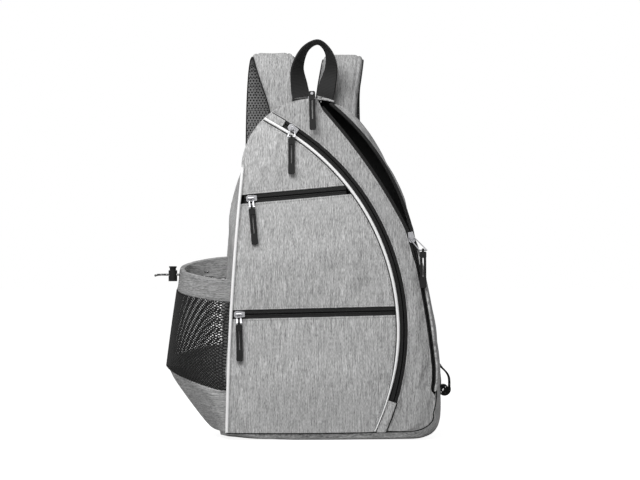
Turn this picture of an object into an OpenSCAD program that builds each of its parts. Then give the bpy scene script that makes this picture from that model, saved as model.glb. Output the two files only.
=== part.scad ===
// Racket backpack: a soft teardrop bag with a leaning front, standing on its base.
// Millimetres. X to the viewer's right, Z up, the front faces -Y, Z = 0 on the floor.

/* [Body] */
// Lean of the front face back from upright, degrees
front_lean = 5.5; // [4:0.5:7]
// How far the front face stands ahead of the origin at the floor
front_y = 70; // [64:1:78]
// How far the back board stands behind the origin
back_y = 45; // [40:1:52]
// Thickness of the sewn fabric panels
fabric_t = 2.4; // [2:0.1:2.8]
// Outward swell of the side walls
wall_swell = 6; // [2:1:9]
// Extra width of the back board at the left edge
flare_left = 13; // [6:1:16]
// Extra width of the back board at the right edge
flare_right = 8; // [4:1:12]
// Extra height of the back board at the top
flare_top = 3; // [1:1:5]
// Height of the front bottom seam over the floor
seam_v = 10; // [8:1:13]

/* [Front outline] */
// Radius of the rounded shoulder and top
shoulder_r = 99; // [96:1:102]
// Height of the shoulder centre along the front face
shoulder_v = 368; // [360:1:376]
// Sideways place of the shoulder centre
shoulder_u = -26; // [-29:1:-23]
// How far the left bottom corner stands out past the shoulder
left_spread = 20; // [14:1:24]
// Bow of the left edge
left_bow = 4; // [0:0.5:6]
// Radius of the long right edge
right_r = 327; // [322:1:330]
// Radius of the curved front zip
front_zip_r = 328; // [325:1:331]

/* [Zips] */
// Width of one zip tape
tape_w = 5.4; // [5.2:0.1:5.8]
// Free gap between the two rows of teeth
chain_gap = 1.2; // [1:0.1:1.4]
// Width of one row of teeth
chain_w = 2.6; // [2.2:0.1:2.8]
// Thickness of the rows of teeth
chain_t = 2.4; // [2:0.1:2.6]
// Thickness of the tapes
tape_t = 1; // [0.8:0.1:1.2]
// Free room between a slider and the teeth
slide_play = 0.35; // [0.3:0.05:0.45]
// Slope of the upper pocket zip, degrees
upper_slope = 5.2; // [3:0.2:7]
// How far the middle of the upper pocket zip lies below the shoulder centre
upper_drop = 34; // [28:1:40]
// Slope of the lower pocket zip, degrees
lower_slope = 1.4; // [0:0.2:3]
// Height of the lower pocket zip along the front face, at its middle
lower_v = 173; // [166:1:180]
// Length of the hanging pull tabs
tab_l = 50; // [46:1:54]
// Width of the hanging pull tabs
tab_w = 9; // [7.6:0.1:9]

/* [Piping] */
// Radius of the white piping
piping_r = 2.1; // [1.8:0.1:2.2]

/* [Bottle pocket] */
// Swell of the bottle pocket out of the left wall
pocket_swell = 73; // [64:1:80]
// Height of the pocket hem
hem_h = 31; // [26:1:36]
// Wall thickness of the pocket net
net_t = 1.6; // [1.4:0.1:2]
// Radius of the draw cord
cord_r = 1.5; // [1.3:0.1:1.6]

/* [Carrying] */
// Width of the handle webbing
handle_w = 25; // [22:1:27]
// Thickness of the handle webbing
handle_t = 3.4; // [2.8:0.1:4]
// Width of the padded straps
strap_w = 58; // [52:1:62]
// Thickness of the strap pads
strap_pad_t = 8; // [6:0.5:9]
// Thickness of the net lining under the straps
strap_lining_t = 2.6; // [2:0.2:3]
// Width of the lower strap webbing
webbing_w = 20; // [18:1:22]
// Thickness of the lower strap webbing
webbing_t = 2.2; // [1.8:0.1:2.4]

/* [Hidden] */
$fn = 48;
play = 0.3;
wall_in = fabric_t + 0.4;
wall_w = -fabric_t - play;

cloth_grey = [0.72, 0.73, 0.74];
cloth_dark = [0.5, 0.51, 0.53];
net_black = [0.12, 0.12, 0.13];
trim_white = [0.95, 0.95, 0.95];
trim_black = [0.08, 0.08, 0.09];
zip_grey = [0.3, 0.3, 0.32];
metal = [0.75, 0.75, 0.78];

// Small helpers for points, lines and arcs
function lerp(a, b, t) = a + (b - a) * t;
function unit(a) = a / norm(a);
function perp(a) = [-a[1], a[0]];
function on_arc(c, r, a) = [c[0] + r * cos(a), c[1] + r * sin(a)];
function bezier(a, b, c, t) = lerp(lerp(a, b, t), lerp(b, c, t), t);
function spline(p, i, t) = let(
    a = p[max(i - 1, 0)], b = p[i], c = p[i + 1], d = p[min(i + 2, len(p) - 1)])
  0.5 * (2 * b + (c - a) * t + (2 * a - 5 * b + 4 * c - d) * t * t
    + (3 * b - a - 3 * c + d) * t * t * t);
function smooth(p, n) = concat(
  [for (i = [0:len(p) - 2]) for (j = [0:n - 1]) spline(p, i, j / n)], [p[len(p) - 1]]);
function reversed(l) = [for (i = [len(l) - 1:-1:0]) l[i]];
function line_dir(l, k) = unit(l[min(k + 1, len(l) - 1)] - l[max(k - 1, 0)]);
function beside(l, d) = [for (k = [0:len(l) - 1]) l[k] + d * perp(line_dir(l, k))];

// The front face has its own frame: u across, v up the face, w out of it
function front_pt(p, w) = [p[0],
  -front_y + p[1] * sin(front_lean) - w * cos(front_lean),
  p[1] * cos(front_lean) + w * sin(front_lean)];
module on_front() {
  translate([0, -front_y, 0])
    rotate([90 - front_lean, 0, 0])
      children();
}

// Front outline, clockwise as seen from the front
shoulder_c = [shoulder_u, shoulder_v];
edge_join = 50;
edge_low = 12;
right_c = on_arc(shoulder_c, shoulder_r, 74) + [0.9, -4.7] - on_arc([0, 0], right_r, edge_join);
corner_a = [144, 70];
corner_b = [145, 14];
corner_c = [104, seam_v + 3];
seam_left = [shoulder_u - shoulder_r - left_spread, seam_v];
knee = on_arc(right_c, right_r, edge_low);
function left_u(v) = let(t = (v - seam_v) / (shoulder_v - seam_v))
  seam_left[0] + left_spread * t - left_bow * 4 * t * (1 - t);
right_bow = 4.5;
function right_low(t) = lerp(knee, corner_a, t) + [right_bow * 4 * t * (1 - t), 0];
outline = concat(
  [for (i = [0:7]) let(v = lerp(seam_v, shoulder_v, i / 8)) [left_u(v), v]],
  [for (i = [0:16]) on_arc(shoulder_c, shoulder_r, 180 - 96 * i / 16)],
  [for (i = [1:3]) on_arc(shoulder_c, shoulder_r, 84 - 10 * i / 3)],
  [for (i = [0:10]) on_arc(right_c, right_r, lerp(edge_join, edge_low, i / 10))],
  [for (i = [1:6]) right_low(i / 6)],
  [for (i = [1:6]) bezier(corner_a, corner_b, corner_c, i / 6)],
  [for (i = [1:7]) lerp(corner_c, seam_left, i / 8) - [0, 1.6 * sin(180 * i / 8)]]);
stations = len(outline);
k_shoulder = 8;
k_top = 24;
k_right = 28;
k_base = 44;
function station(k) = outline[k % stations];
function out_n(k) = unit(perp(station(k + 1) - station(k + stations - 1)));
base_drop = seam_v + 2;
// The back board is wider than the front low down only: no wider at the shoulder and upper right edge
flare_fade = 40;
right_swell = 2.5;
shoulder_swell = 1;
flare_right_v = [215, 105];
function ramp(x, from, to) = min(1, max(0, (x - from) / (to - from)));
function flare(p, n) = n[0] < 0 ? flare_left * ramp(p[1], shoulder_v, shoulder_v - flare_fade)
  : flare_right * ramp(p[1], flare_right_v[0], flare_right_v[1]);
function back_pt(k) = let(p = station(k), n = out_n(k), f = flare(p, n))
  [p[0] + f * abs(n[0]) * n[0],
   max(0, p[1] * cos(front_lean) + flare_top * max(0, n[1]) + base_drop * min(0, n[1]))];

// A slab between two grids of points, seen from outside with columns to the right
module slab(face, lining) {
  r = len(face);
  c = len(face[0]);
  n = r * c;
  points = concat([for (row = face) for (p = row) p], [for (row = lining) for (p = row) p]);
  outer = [for (i = [0:r - 2]) for (j = [0:c - 2]) let(a = i * c + j)
    each [[a, a + c, a + c + 1], [a, a + c + 1, a + 1]]];
  inner = [for (i = [0:r - 2]) for (j = [0:c - 2]) let(a = n + i * c + j)
    each [[a, a + 1, a + c + 1], [a, a + c + 1, a + c]]];
  low = [for (j = [0:c - 2]) each [[j, j + 1, n + j + 1], [j, n + j + 1, n + j]]];
  high = [for (j = [0:c - 2]) let(a = (r - 1) * c + j)
    each [[a + 1, a, n + a], [a + 1, n + a, n + a + 1]]];
  left = [for (i = [0:r - 2]) let(a = i * c)
    each [[a + c, a, n + a], [a + c, n + a, n + a + c]]];
  right = [for (i = [0:r - 2]) let(a = i * c + c - 1)
    each [[a, a + c, n + a + c], [a, n + a + c, n + a]]];
  polyhedron(points, concat(outer, inner, low, high, left, right));
}

// A closed tube through rings of points, capped at both ends.
// flip turns the diagonals of its facets, to match a tube that lies against it.
module rings(r, flip = false) {
  n = len(r);
  k = len(r[0]);
  sides = [for (i = [0:n - 2]) for (j = [0:k - 1]) let(a = i * k + j, b = i * k + (j + 1) % k)
    each flip ? [[a, b, a + k], [b, b + k, a + k]] : [[a, b, b + k], [a, b + k, a + k]]];
  start = [for (j = [1:k - 2]) [0, j + 1, j]];
  end = [for (j = [1:k - 2]) let(a = (n - 1) * k) [a, a + j, a + j + 1]];
  polyhedron([for (ring = r) for (p = ring) p], concat(sides, start, end));
}

// A round cord along a path, eight-sided
function path_dir(p, i) = unit(p[min(i + 1, len(p) - 1)] - p[max(i - 1, 0)]);
module cord(p, r, up) {
  rings([for (i = [0:len(p) - 1]) let(t = path_dir(p, i), a = unit(cross(t, up)), b = cross(t, a))
    [for (j = [0:7]) p[i] + r * (cos(45 * j) * a - sin(45 * j) * b)]]);
}

// A wall from the front edge back to the back board, following the outline.
// lift raises its first edge to meet the end of the wall before it.
module wall(k0, k1, w0, swell, swell0, swell1, lift = 0) {
  function n3(k) = let(n = out_n(k)) [n[0], 0, n[1]];
  function swell_k(k) = k < (k0 + k1) / 2 ? lerp(swell0, swell, min(1, (k - k0) / 3))
    : lerp(swell1, swell, min(1, (k1 - k) / 3));
  function p3(k, s) = let(b = back_pt(k),
      edge = front_pt(station(k), w0) + [0, 0, k == k0 ? lift : 0],
      q = lerp(edge, [b[0], back_y, b[1]], s) + swell_k(k) * 4 * s * (1 - s) * n3(k))
    [q[0], q[1], max(0, q[2])];
  face = [for (s = [0:1 / 6:1.001]) [for (k = [k0:k1]) p3(k, s)]];
  lining = [for (s = [0:1 / 6:1.001]) [for (k = [k0:k1]) p3(k, s) - fabric_t * n3(k)]];
  slab(face, lining);
}

// A flat sewn panel between a left and a right edge, crowned a little in the middle
module panel(left, right, crown) {
  rows = len(left);
  function at(i, t, w) = let(p = lerp(left[i], right[i], t)) [p[0], p[1], w];
  face = [for (i = [0:rows - 1]) [for (t = [0:0.1:1.001])
    at(i, t, crown * sqrt(max(0, sin(180 * i / (rows - 1)) * sin(180 * t))))]];
  lining = [for (i = [0:rows - 1]) [for (t = [0:0.1:1.001]) at(i, t, -fabric_t)]];
  on_front() slab(face, lining);
}

// Body of the bag
module back_board() {
  color(cloth_dark)
    translate([0, back_y, 0])
      rotate([90, 0, 0])
        mirror([0, 0, 1])
          linear_extrude(4)
            polygon([for (k = [0:stations - 1]) back_pt(k)]);
}

// Three crowned pads on the back, with air channels between them
function back_left(z) = -shoulder_r + shoulder_u + 2
  + (z > shoulder_v ? shoulder_r - sqrt(shoulder_r * shoulder_r - pow(z - shoulder_v, 2)) : 0);
function back_right(z) = min(112, right_c[0] + sqrt(right_r * right_r - pow(z - right_c[1], 2)) - 8);
module back_pads() {
  module pad(z0, z1, left, right) {
    function at(s, t, d) = let(z = lerp(z0, z1, s)) [lerp(right(z), left(z), t), back_y + 4 + d, z];
    function deep(s, t) = 1.2 + 8 * pow(max(0, sin(180 * s) * sin(180 * t)), 0.4);
    slab([for (s = [0:0.1:1.001]) [for (t = [0:0.1:1.001]) at(s, t, deep(s, t))]],
      [for (s = [0:0.1:1.001]) [for (t = [0:0.1:1.001]) at(s, t, 0)]]);
  }
  color(net_black) {
    pad(132, 412, function(z) back_left(z), function(z) -20);
    pad(132, 412, function(z) -4, function(z) back_right(z));
    pad(30, 120, function(z) -106, function(z) 96);
  }
}

module left_gusset() {
  color(cloth_grey) wall(0, k_shoulder, wall_w, wall_swell, wall_swell, 1);
}

// The shoulder wall is two strips with the shoulder zip between them
shoulder_zip_w = -20;
shoulder_edge = tape_w + chain_gap / 2;
module shoulder_ring(a0, a1, r0, r1, w0, w1) {
  on_front()
    translate([shoulder_u, shoulder_v, 0])
      rotate([0, 0, a0])
        rotate_extrude(angle = a1 - a0, $fn = 120)
          translate([r0, w0])
            square([r1 - r0, w1 - w0]);
}
module shoulder_gusset() {
  color(cloth_grey) {
    shoulder_ring(84, 179, shoulder_r - fabric_t, shoulder_r,
      shoulder_zip_w + shoulder_edge, wall_w);
    wall(k_shoulder, k_top, shoulder_zip_w - shoulder_edge, shoulder_swell, 1, 2,
      (shoulder_edge - shoulder_zip_w) * sin(front_lean) + play);
  }
}

module top_gusset() {
  color(cloth_grey) wall(k_top, k_right, wall_w, 2, 2, 2);
}

module right_gusset() {
  color(cloth_grey) wall(k_right, k_base, wall_w, right_swell, 2, wall_swell);
}

// The base swells down to a flat resting on the floor
module base_gusset() {
  color(cloth_dark) wall(k_base, stations, wall_w, 14, wall_swell, wall_swell);
}

module base_board() {
  color(trim_black)
    translate([-14, 0, fabric_t + play])
      linear_extrude(2)
        square([176, 50], center = true);
}

// The curved front zip is one arc between its two ends
zip_top_end = on_arc(shoulder_c, shoulder_r - 24, 122);
zip_low_end = [82, seam_v + 43];
zip_chord = zip_top_end - zip_low_end;
front_zip_c = (zip_top_end + zip_low_end) / 2
  + unit(perp(zip_chord)) * sqrt(front_zip_r * front_zip_r - zip_chord * zip_chord / 4);
function bearing(p) = atan2(p[1], p[0]);
zip_top = bearing(zip_top_end - front_zip_c);
zip_low = bearing(zip_low_end - front_zip_c);
seam_low = zip_low - 8;

// Compartment walls inside the bag
divider_r = front_zip_r + 11;
divider_w = -52;
module inset_outline(d) {
  polygon([for (k = [0:stations - 1]) station(k) - d * out_n(k)]);
}
module divider() {
  color(cloth_dark)
    on_front()
      translate([0, 0, divider_w])
        linear_extrude(1.2)
          intersection() {
            inset_outline(wall_in + 3);
            translate(front_zip_c) circle(r = divider_r - 1.2, $fn = 180);
          }
}
module divider_gusset() {
  color(cloth_dark)
    on_front()
      translate([front_zip_c[0], front_zip_c[1], divider_w])
        rotate([0, 0, zip_low - 3])
          rotate_extrude(angle = zip_top - zip_low - 4.5, $fn = 180)
            translate([divider_r - 1.2, 0])
              square([1.2, -divider_w - fabric_t]);
}
organiser_r = front_zip_r - tape_w - chain_gap / 2 - 2 * piping_r - 0.4;
module pocket_liner() {
  color(cloth_dark)
    on_front()
      translate([0, 0, -11.2])
        linear_extrude(1.2)
          intersection() {
            inset_outline(wall_in - 0.2);
            translate(front_zip_c) circle(r = organiser_r, $fn = 180);
          }
}

// Front panels. The curved seam is an arc up to the zip's top end, then runs on straight.
function seam_pt(r, a) = a <= zip_top ? on_arc(front_zip_c, r, a)
  : on_arc(front_zip_c, r, zip_top)
    + (a - zip_top) * [-sin(zip_top), cos(zip_top)] * r * PI / 180;
function seam_end(r) = let(p = on_arc(front_zip_c, r, zip_top), d = [-sin(zip_top), cos(zip_top)],
    q = p - shoulder_c, b = q * d)
  zip_top + (sqrt(b * b - q * q + shoulder_r * shoulder_r) - b) * 180 / (PI * r);
function seam_at_v(r, v) = let(top = on_arc(front_zip_c, r, zip_top))
  v <= top[1] ? front_zip_c[0] + sqrt(r * r - pow(v - front_zip_c[1], 2))
    : top[0] - (v - top[1]) * tan(zip_top);
function left_edge(v) = v <= shoulder_v ? left_u(v)
  : shoulder_u - sqrt(max(0, shoulder_r * shoulder_r - pow(v - shoulder_v, 2)));
upper_v = shoulder_v - upper_drop;
upper_mid = shoulder_u - 26;
lower_mid = shoulder_u + 2;
function upper_line(u) = upper_v + tan(upper_slope) * (u - upper_mid);
function lower_line(u) = lower_v + tan(lower_slope) * (u - lower_mid);
upper_left = upper_line(left_u(upper_v));
upper_right = upper_line(seam_at_v(organiser_r, upper_v));
lower_left = lower_line(left_u(lower_v));
lower_right = lower_line(seam_at_v(organiser_r, lower_v));
zip_half = tape_w + chain_gap / 2;
zip_room = zip_half + 0.3;
function organiser_left(v0, v1, n) = [for (i = [0:n]) let(v = lerp(v0, v1, i / n)) [left_edge(v), v]];
function organiser_right(v0, v1, n) = [for (i = [0:n]) let(v = lerp(v0, v1, i / n))
  [seam_at_v(organiser_r, v), v]];
apex_v = seam_pt(organiser_r, seam_end(organiser_r))[1];
module organiser_top() {
  color(cloth_grey)
    panel(organiser_left(upper_left + zip_room, apex_v - 2.5, 12),
      organiser_right(upper_right + zip_room, apex_v - 1, 12), 2.2);
}
module organiser_middle() {
  color(cloth_grey)
    panel(organiser_left(lower_left + zip_room, upper_left - zip_room, 12),
      organiser_right(lower_right + zip_room, upper_right - zip_room, 12), 2.4);
}
module organiser_bottom() {
  color(cloth_grey)
    panel(organiser_left(seam_v, lower_left - zip_room, 12),
      organiser_right(seam_v + 0.5, lower_right - zip_room, 12), 2.4);
}

// The racket zip follows the right edge. Its upper part stands open as a long slit.
racket_mid = zip_half - 0.8;
racket_gap = chain_gap / 2;
slit_low = 14;
slit_top = 51;
slit_a = on_arc(right_c, right_r - racket_mid - racket_gap, slit_low);
slit_b = on_arc(right_c, right_r, 33) - [6.2, 12];
slit_c = on_arc(right_c, right_r, slit_top) - [10.8, 6];
right_edge_pts = concat(
  [for (i = [0:10]) lerp(corner_a - [0, 8], right_low(1 - i / 10), min(1, i * 3))],
  [for (i = [1:12]) on_arc(right_c, right_r, lerp(edge_low, slit_top, i / 12))]);
closed_pts = concat(
  [for (i = [0:10]) lerp(corner_a - [0, 8], right_low(1 - i / 10), min(1, i * 3))],
  [on_arc(right_c, right_r, edge_low + 1)]);
inner_slit_pts = concat(beside(closed_pts, racket_mid + racket_gap),
  [for (i = [0:10]) bezier(slit_a, slit_b, slit_c, i / 10)]);
inner_tape_w = tape_w - 0.8;
strip_r = front_zip_r + zip_half + 0.3;
corner_low = asin((corner_c[1] - front_zip_c[1]) / strip_r);
corner_high = zip_low + 3;
strip_left = concat(
  [for (i = [0:6]) seam_pt(strip_r, lerp(corner_low, corner_high, i / 6))],
  [for (i = [0:22]) seam_pt(strip_r, lerp(corner_high + 0.3, zip_top, i / 22))],
  [for (i = [1:4]) seam_pt(strip_r, lerp(zip_top, seam_end(strip_r) - 0.2, i / 4))]);
strip_edge = beside(inner_slit_pts, inner_tape_w + 0.1);
function along(l, t) = let(n = len(l) - 1, k = min(floor(t * n), n - 1)) lerp(l[k], l[k + 1], t * n - k);
apex = seam_pt(strip_r, seam_end(strip_r)) - shoulder_c;
apex_a = bearing(apex);
strip_right = concat(
  [for (i = [0:6]) bezier(corner_a, corner_b, corner_c, lerp(1, 0.08, i / 6))],
  [for (i = [0:22]) along(strip_edge, i / 22)],
  [for (i = [0:3]) on_arc(shoulder_c, shoulder_r, lerp(86, apex_a - 2, i / 3))]);
module strip_panel() {
  color(cloth_grey) panel(strip_left, strip_right, 1.2);
}

// Fabric caps sewn over both ends of the curved zip
module zip_garage() {
  color(cloth_grey)
    on_front()
      translate([0, 0, -fabric_t])
        linear_extrude(fabric_t)
          intersection() {
            inset_outline(0.2);
            polygon([seam_pt(front_zip_r + zip_half - 0.1, zip_top + 0.2),
              seam_pt(front_zip_r + zip_half - 0.1, zip_top + 9),
              seam_pt(front_zip_r - zip_half + 0.1, zip_top + 9),
              seam_pt(front_zip_r - zip_half + 0.1, zip_top + 0.2)]);
          }
}
module zip_end_tab() {
  color(cloth_grey)
    on_front()
      translate([0, 0, -fabric_t])
        linear_extrude(fabric_t)
          intersection() {
            inset_outline(0.2);
            polygon(concat(
              [for (i = [0:4]) seam_pt(front_zip_r + zip_half - 0.1, lerp(seam_low - 1, zip_low - 0.2, i / 4))],
              [for (i = [4:-1:0]) seam_pt(front_zip_r - zip_half + 0.1, lerp(seam_low - 1, zip_low - 0.2, i / 4))]));
          }
}

// White piping
module left_piping() {
  color(trim_white)
    on_front()
      cord([for (i = [0:14]) let(v = lerp(seam_v + 1, shoulder_v + 3, i / 14))
        [left_edge(v) + piping_r - 0.4, v, piping_r + 0.1]], piping_r, [0, 0, 1]);
}
piping_arc_r = organiser_r + piping_r + 0.2;
module curved_piping() {
  color(trim_white)
    on_front()
      cord([for (i = [0:34]) let(p = seam_pt(piping_arc_r, lerp(seam_low + 0.2, seam_end(piping_arc_r) - 0.2, i / 34)))
        [p[0], p[1], 0]], piping_r, [0, 0, 1]);
}

// Zip tapes with their rows of teeth. The slit between the rows lets the slider pass.
tape_mid = -1.4;
module zip_bar(a0, a1, b0, b1) {
  on_front() {
    translate([0, 0, tape_mid - tape_t / 2]) linear_extrude(tape_t) polygon(concat(a0, reversed(a1)));
    translate([0, 0, tape_mid - chain_t / 2]) linear_extrude(chain_t) polygon(concat(b0, reversed(b1)));
  }
}
module straight_zip(v, slope, u0, u1) {
  on_front()
    translate([0, v, tape_mid])
      rotate([0, 0, slope])
        for (side = [-1, 1]) {
          translate([u0, side * (chain_gap + tape_w) / 2 - tape_w / 2, -tape_t / 2])
            cube([u1 - u0, tape_w, tape_t]);
          translate([u0, side * (chain_gap + chain_w) / 2 - chain_w / 2, -chain_t / 2])
            cube([u1 - u0, chain_w, chain_t]);
        }
}
upper_start = left_u(upper_v) + 7.4 - upper_mid;
upper_end = seam_at_v(organiser_r, upper_v + 6) - 3.6 - upper_mid;
lower_start = left_u(lower_v) + 3.6 - lower_mid;
lower_end = seam_at_v(organiser_r, lower_v + 2) - 1.4 - lower_mid;
module upper_zip() {
  color(zip_grey)
    translate([upper_mid, 0, 0])
      straight_zip(upper_v, upper_slope, upper_start, upper_end);
}
module lower_zip() {
  color(zip_grey)
    translate([lower_mid, 0, 0])
      straight_zip(lower_v, lower_slope, lower_start, lower_end);
}
module front_zip() {
  color(zip_grey)
    on_front()
      translate([front_zip_c[0], front_zip_c[1], tape_mid])
        rotate([0, 0, zip_low])
          rotate_extrude(angle = zip_top - zip_low, $fn = 240)
            for (side = [0, 1]) {
              translate([front_zip_r + (side ? chain_gap / 2 : -zip_half), -tape_t / 2])
                square([tape_w, tape_t]);
              translate([front_zip_r + (side ? chain_gap / 2 : -chain_gap / 2 - chain_w), -chain_t / 2])
                square([chain_w, chain_t]);
            }
}
outer_slit_pts = beside(right_edge_pts, racket_mid - racket_gap);
module racket_zip() {
  color(zip_grey) {
    zip_bar(right_edge_pts, outer_slit_pts,
      beside(right_edge_pts, racket_mid - racket_gap - chain_w), outer_slit_pts);
    zip_bar(inner_slit_pts, beside(inner_slit_pts, inner_tape_w - 0.1),
      inner_slit_pts, beside(inner_slit_pts, chain_w));
  }
}
module shoulder_zip() {
  color(zip_grey)
    for (side = [0, 1]) {
      shoulder_ring(85, 178, shoulder_r + tape_mid - tape_t / 2, shoulder_r + tape_mid + tape_t / 2,
        shoulder_zip_w + (side ? chain_gap / 2 : -zip_half),
        shoulder_zip_w + (side ? zip_half : -chain_gap / 2));
      shoulder_ring(85, 178, shoulder_r + tape_mid - chain_t / 2, shoulder_r + tape_mid + chain_t / 2,
        shoulder_zip_w + (side ? chain_gap / 2 : -chain_gap / 2 - chain_w),
        shoulder_zip_w + (side ? chain_gap / 2 + chain_w : -chain_gap / 2));
    }
}

// Sliders run along local x, with local z out of the tape
plate_z = chain_t / 2 + slide_play;
plate_t = 1.6;
slider_half = 4.7;
bail_z = 6.2;
stud_r = 1.5;
link_t = 1.6;
link_z = plate_z + plate_t + 2.6;
module slider_outline() {
  intersection() {
    union() {
      translate([2.6, 0]) circle(r = slider_half);
      polygon([[2.6, -slider_half], [-8, -3.4], [-8, 3.4], [2.6, slider_half]]);
    }
    translate([-8, -6]) square([14.6, 12]);
  }
}
module slider_body(low_half = slider_half) {
  translate([0, 0, plate_z])
    linear_extrude(plate_t)
      slider_outline();
  translate([0, 0, -plate_z - plate_t])
    linear_extrude(plate_t)
      intersection() {
        slider_outline();
        translate([-9, -low_half]) square([18, 2 * low_half]);
      }
  translate([2.5, -0.3, -plate_z - 0.2]) cube([3.6, 0.6, 2 * plate_z + 0.4]);
}
module bail_slider() {
  slider_body();
  for (x = [-5.2, 4])
    translate([x, -1.3, plate_z])
      cube([1.2, 2.6, bail_z - plate_z + 1]);
  translate([-5.2, 0, bail_z]) rotate([0, 90, 0]) cylinder(r = 0.9, h = 10.4);
}
module stud_slider(low_half = slider_half) {
  slider_body(low_half);
  translate([0, 0, plate_z]) cylinder(r = stud_r, h = link_z + link_t + 0.4 - plate_z);
  translate([0, 0, link_z + link_t + 0.4]) cylinder(r = stud_r + 1.2, h = 0.9);
}

// Pull links: an eye at the slider, and at the far end a bar for the tab
bar_r = 1;
module bail_link(l) {
  rotate([0, 90, 0])
    difference() {
      translate([0, 0, -3.4]) cylinder(r = 2.2, h = 6.8);
      translate([0, 0, -4]) cylinder(r = 0.9 + play, h = 8);
    }
  for (x = [-3.3, 1.9])
    translate([x, -l, -0.8])
      cube([1.4, l - 1.6, 1.6]);
  translate([-4.4, -l, 0]) rotate([0, 90, 0]) cylinder(r = bar_r, h = 8.8);
}
rod_r = 0.7;
stud_bar = 5.2;
module stud_link(l, swing) {
  eye_r = stud_r + play + 1.5;
  end = [l * sin(swing), -l * cos(swing)];
  difference() {
    cylinder(r = eye_r, h = link_t);
    translate([0, 0, -1]) cylinder(r = stud_r + play, h = link_t + 2);
  }
  for (side = [-1, 1])
    hull() {
      rotate([0, 0, swing])
        translate([side * (eye_r - rod_r), 0, 0])
          cylinder(r = rod_r, h = link_t, $fn = 24);
      translate([end[0] + side * stud_bar, end[1], 0]) cylinder(r = rod_r, h = link_t, $fn = 24);
    }
  translate([end[0] - stud_bar, end[1], link_t / 2])
    rotate([0, 90, 0])
      cylinder(r = bar_r, h = 2 * stud_bar);
}

// Pull tab hanging along -y: a moulded sleeve, two cords and a moulded end
tab_t = 3.2;
module plate_round(x, y0, y1, t, r) {
  translate([0, 0, -t / 2])
    linear_extrude(t) {
      translate([-x / 2, y0 + r]) square([x, y1 - y0 - 2 * r]);
      translate([-x / 2 + r, y0]) square([x - 2 * r, y1 - y0]);
      for (sx = [-1, 1]) for (y = [y0 + r, y1 - r])
        translate([sx * (x / 2 - r), y]) circle(r = r, $fn = 24);
    }
}
module tab_body() {
  plate_round(tab_w, -9, -0.5, tab_t, 1.6);
  for (x = [-tab_w / 2 + 1.5, tab_w / 2 - 1.5])
    translate([x, -tab_l + 12, 0])
      rotate([-90, 0, 0])
        cylinder(r = 1.3, h = tab_l - 20);
  plate_round(tab_w, -tab_l, -tab_l + 15, tab_t + 0.2, 2.4);
}
module tab_on_bar() {
  difference() {
    union() {
      translate([0, -1.6, 0]) tab_body();
      translate([-1.5, 0, 0]) rotate([0, 90, 0]) cylinder(r = 2.3, h = 3);
      translate([-1.5, -3, -tab_t / 2]) cube([3, 3, tab_t]);
    }
    translate([-tab_w, 0, 0]) rotate([0, 90, 0]) cylinder(r = bar_r + play, h = 2 * tab_w);
  }
}
module tab_on_pin() {
  difference() {
    union() {
      tab_body();
      plate_round(tab_w, -6, 3.4, tab_t, 2.4);
    }
    translate([0, 0, -4]) cylinder(r = bar_r + play, h = 8);
  }
}

// Where each slider stands: along its own zip
upper_u = upper_start + 9;
lower_u = lower_start + 8.6;
racket_zip_r = right_r - racket_mid;
racket_a = edge_low;
front_a = zip_top - 2.2;
shoulder_a = 91.5;
module on_upper() {
  on_front() translate([upper_mid, upper_v, tape_mid]) rotate([0, 0, upper_slope])
    translate([upper_u, 0, 0]) children();
}
module on_lower() {
  on_front() translate([lower_mid, lower_v, tape_mid]) rotate([0, 0, lower_slope])
    translate([lower_u, 0, 0]) children();
}
module on_curve(c, r, a, turn) {
  on_front() translate([c[0] + r * cos(a), c[1] + r * sin(a), tape_mid])
    rotate([0, 0, turn]) children();
}
link_l = 12;
module upper_slider() {
  color(metal) on_upper() rotate([0, 0, 180]) bail_slider();
}
module upper_link() {
  color(metal) on_upper() translate([0, 0, bail_z]) bail_link(link_l);
}
module upper_tab() {
  color(trim_black) on_upper() translate([0, -link_l, bail_z]) tab_on_bar();
}
module lower_slider() {
  color(metal) on_lower() rotate([0, 0, 180]) bail_slider();
}
module lower_link() {
  color(metal) on_lower() translate([0, 0, bail_z]) bail_link(link_l);
}
module lower_tab() {
  color(trim_black) on_lower() translate([0, -link_l, bail_z]) tab_on_bar();
}
front_swing = -8;
module front_slider() {
  color(metal) on_curve(front_zip_c, front_zip_r, front_a, front_a + 90) stud_slider();
}
module front_link() {
  color(metal) on_curve(front_zip_c, front_zip_r, front_a, 0)
    translate([0, 0, link_z]) stud_link(link_l, front_swing);
}
module front_tab() {
  color(trim_black) on_curve(front_zip_c, front_zip_r, front_a, 0)
    translate([link_l * sin(front_swing), -link_l * cos(front_swing), link_z + link_t / 2])
      tab_on_bar();
}
racket_link_l = 23;
racket_swing = 42;
module racket_slider() {
  color(metal) on_curve(right_c, racket_zip_r, racket_a, racket_a - 90) stud_slider(2.2);
}
module racket_link() {
  color(metal) on_curve(right_c, racket_zip_r, racket_a, 0)
    translate([0, 0, link_z]) stud_link(racket_link_l, racket_swing);
}
module racket_tab() {
  color(trim_black) on_curve(right_c, racket_zip_r, racket_a, 0)
    translate([racket_link_l * sin(racket_swing), -racket_link_l * cos(racket_swing), link_z + link_t / 2])
      tab_on_bar();
}

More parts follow.
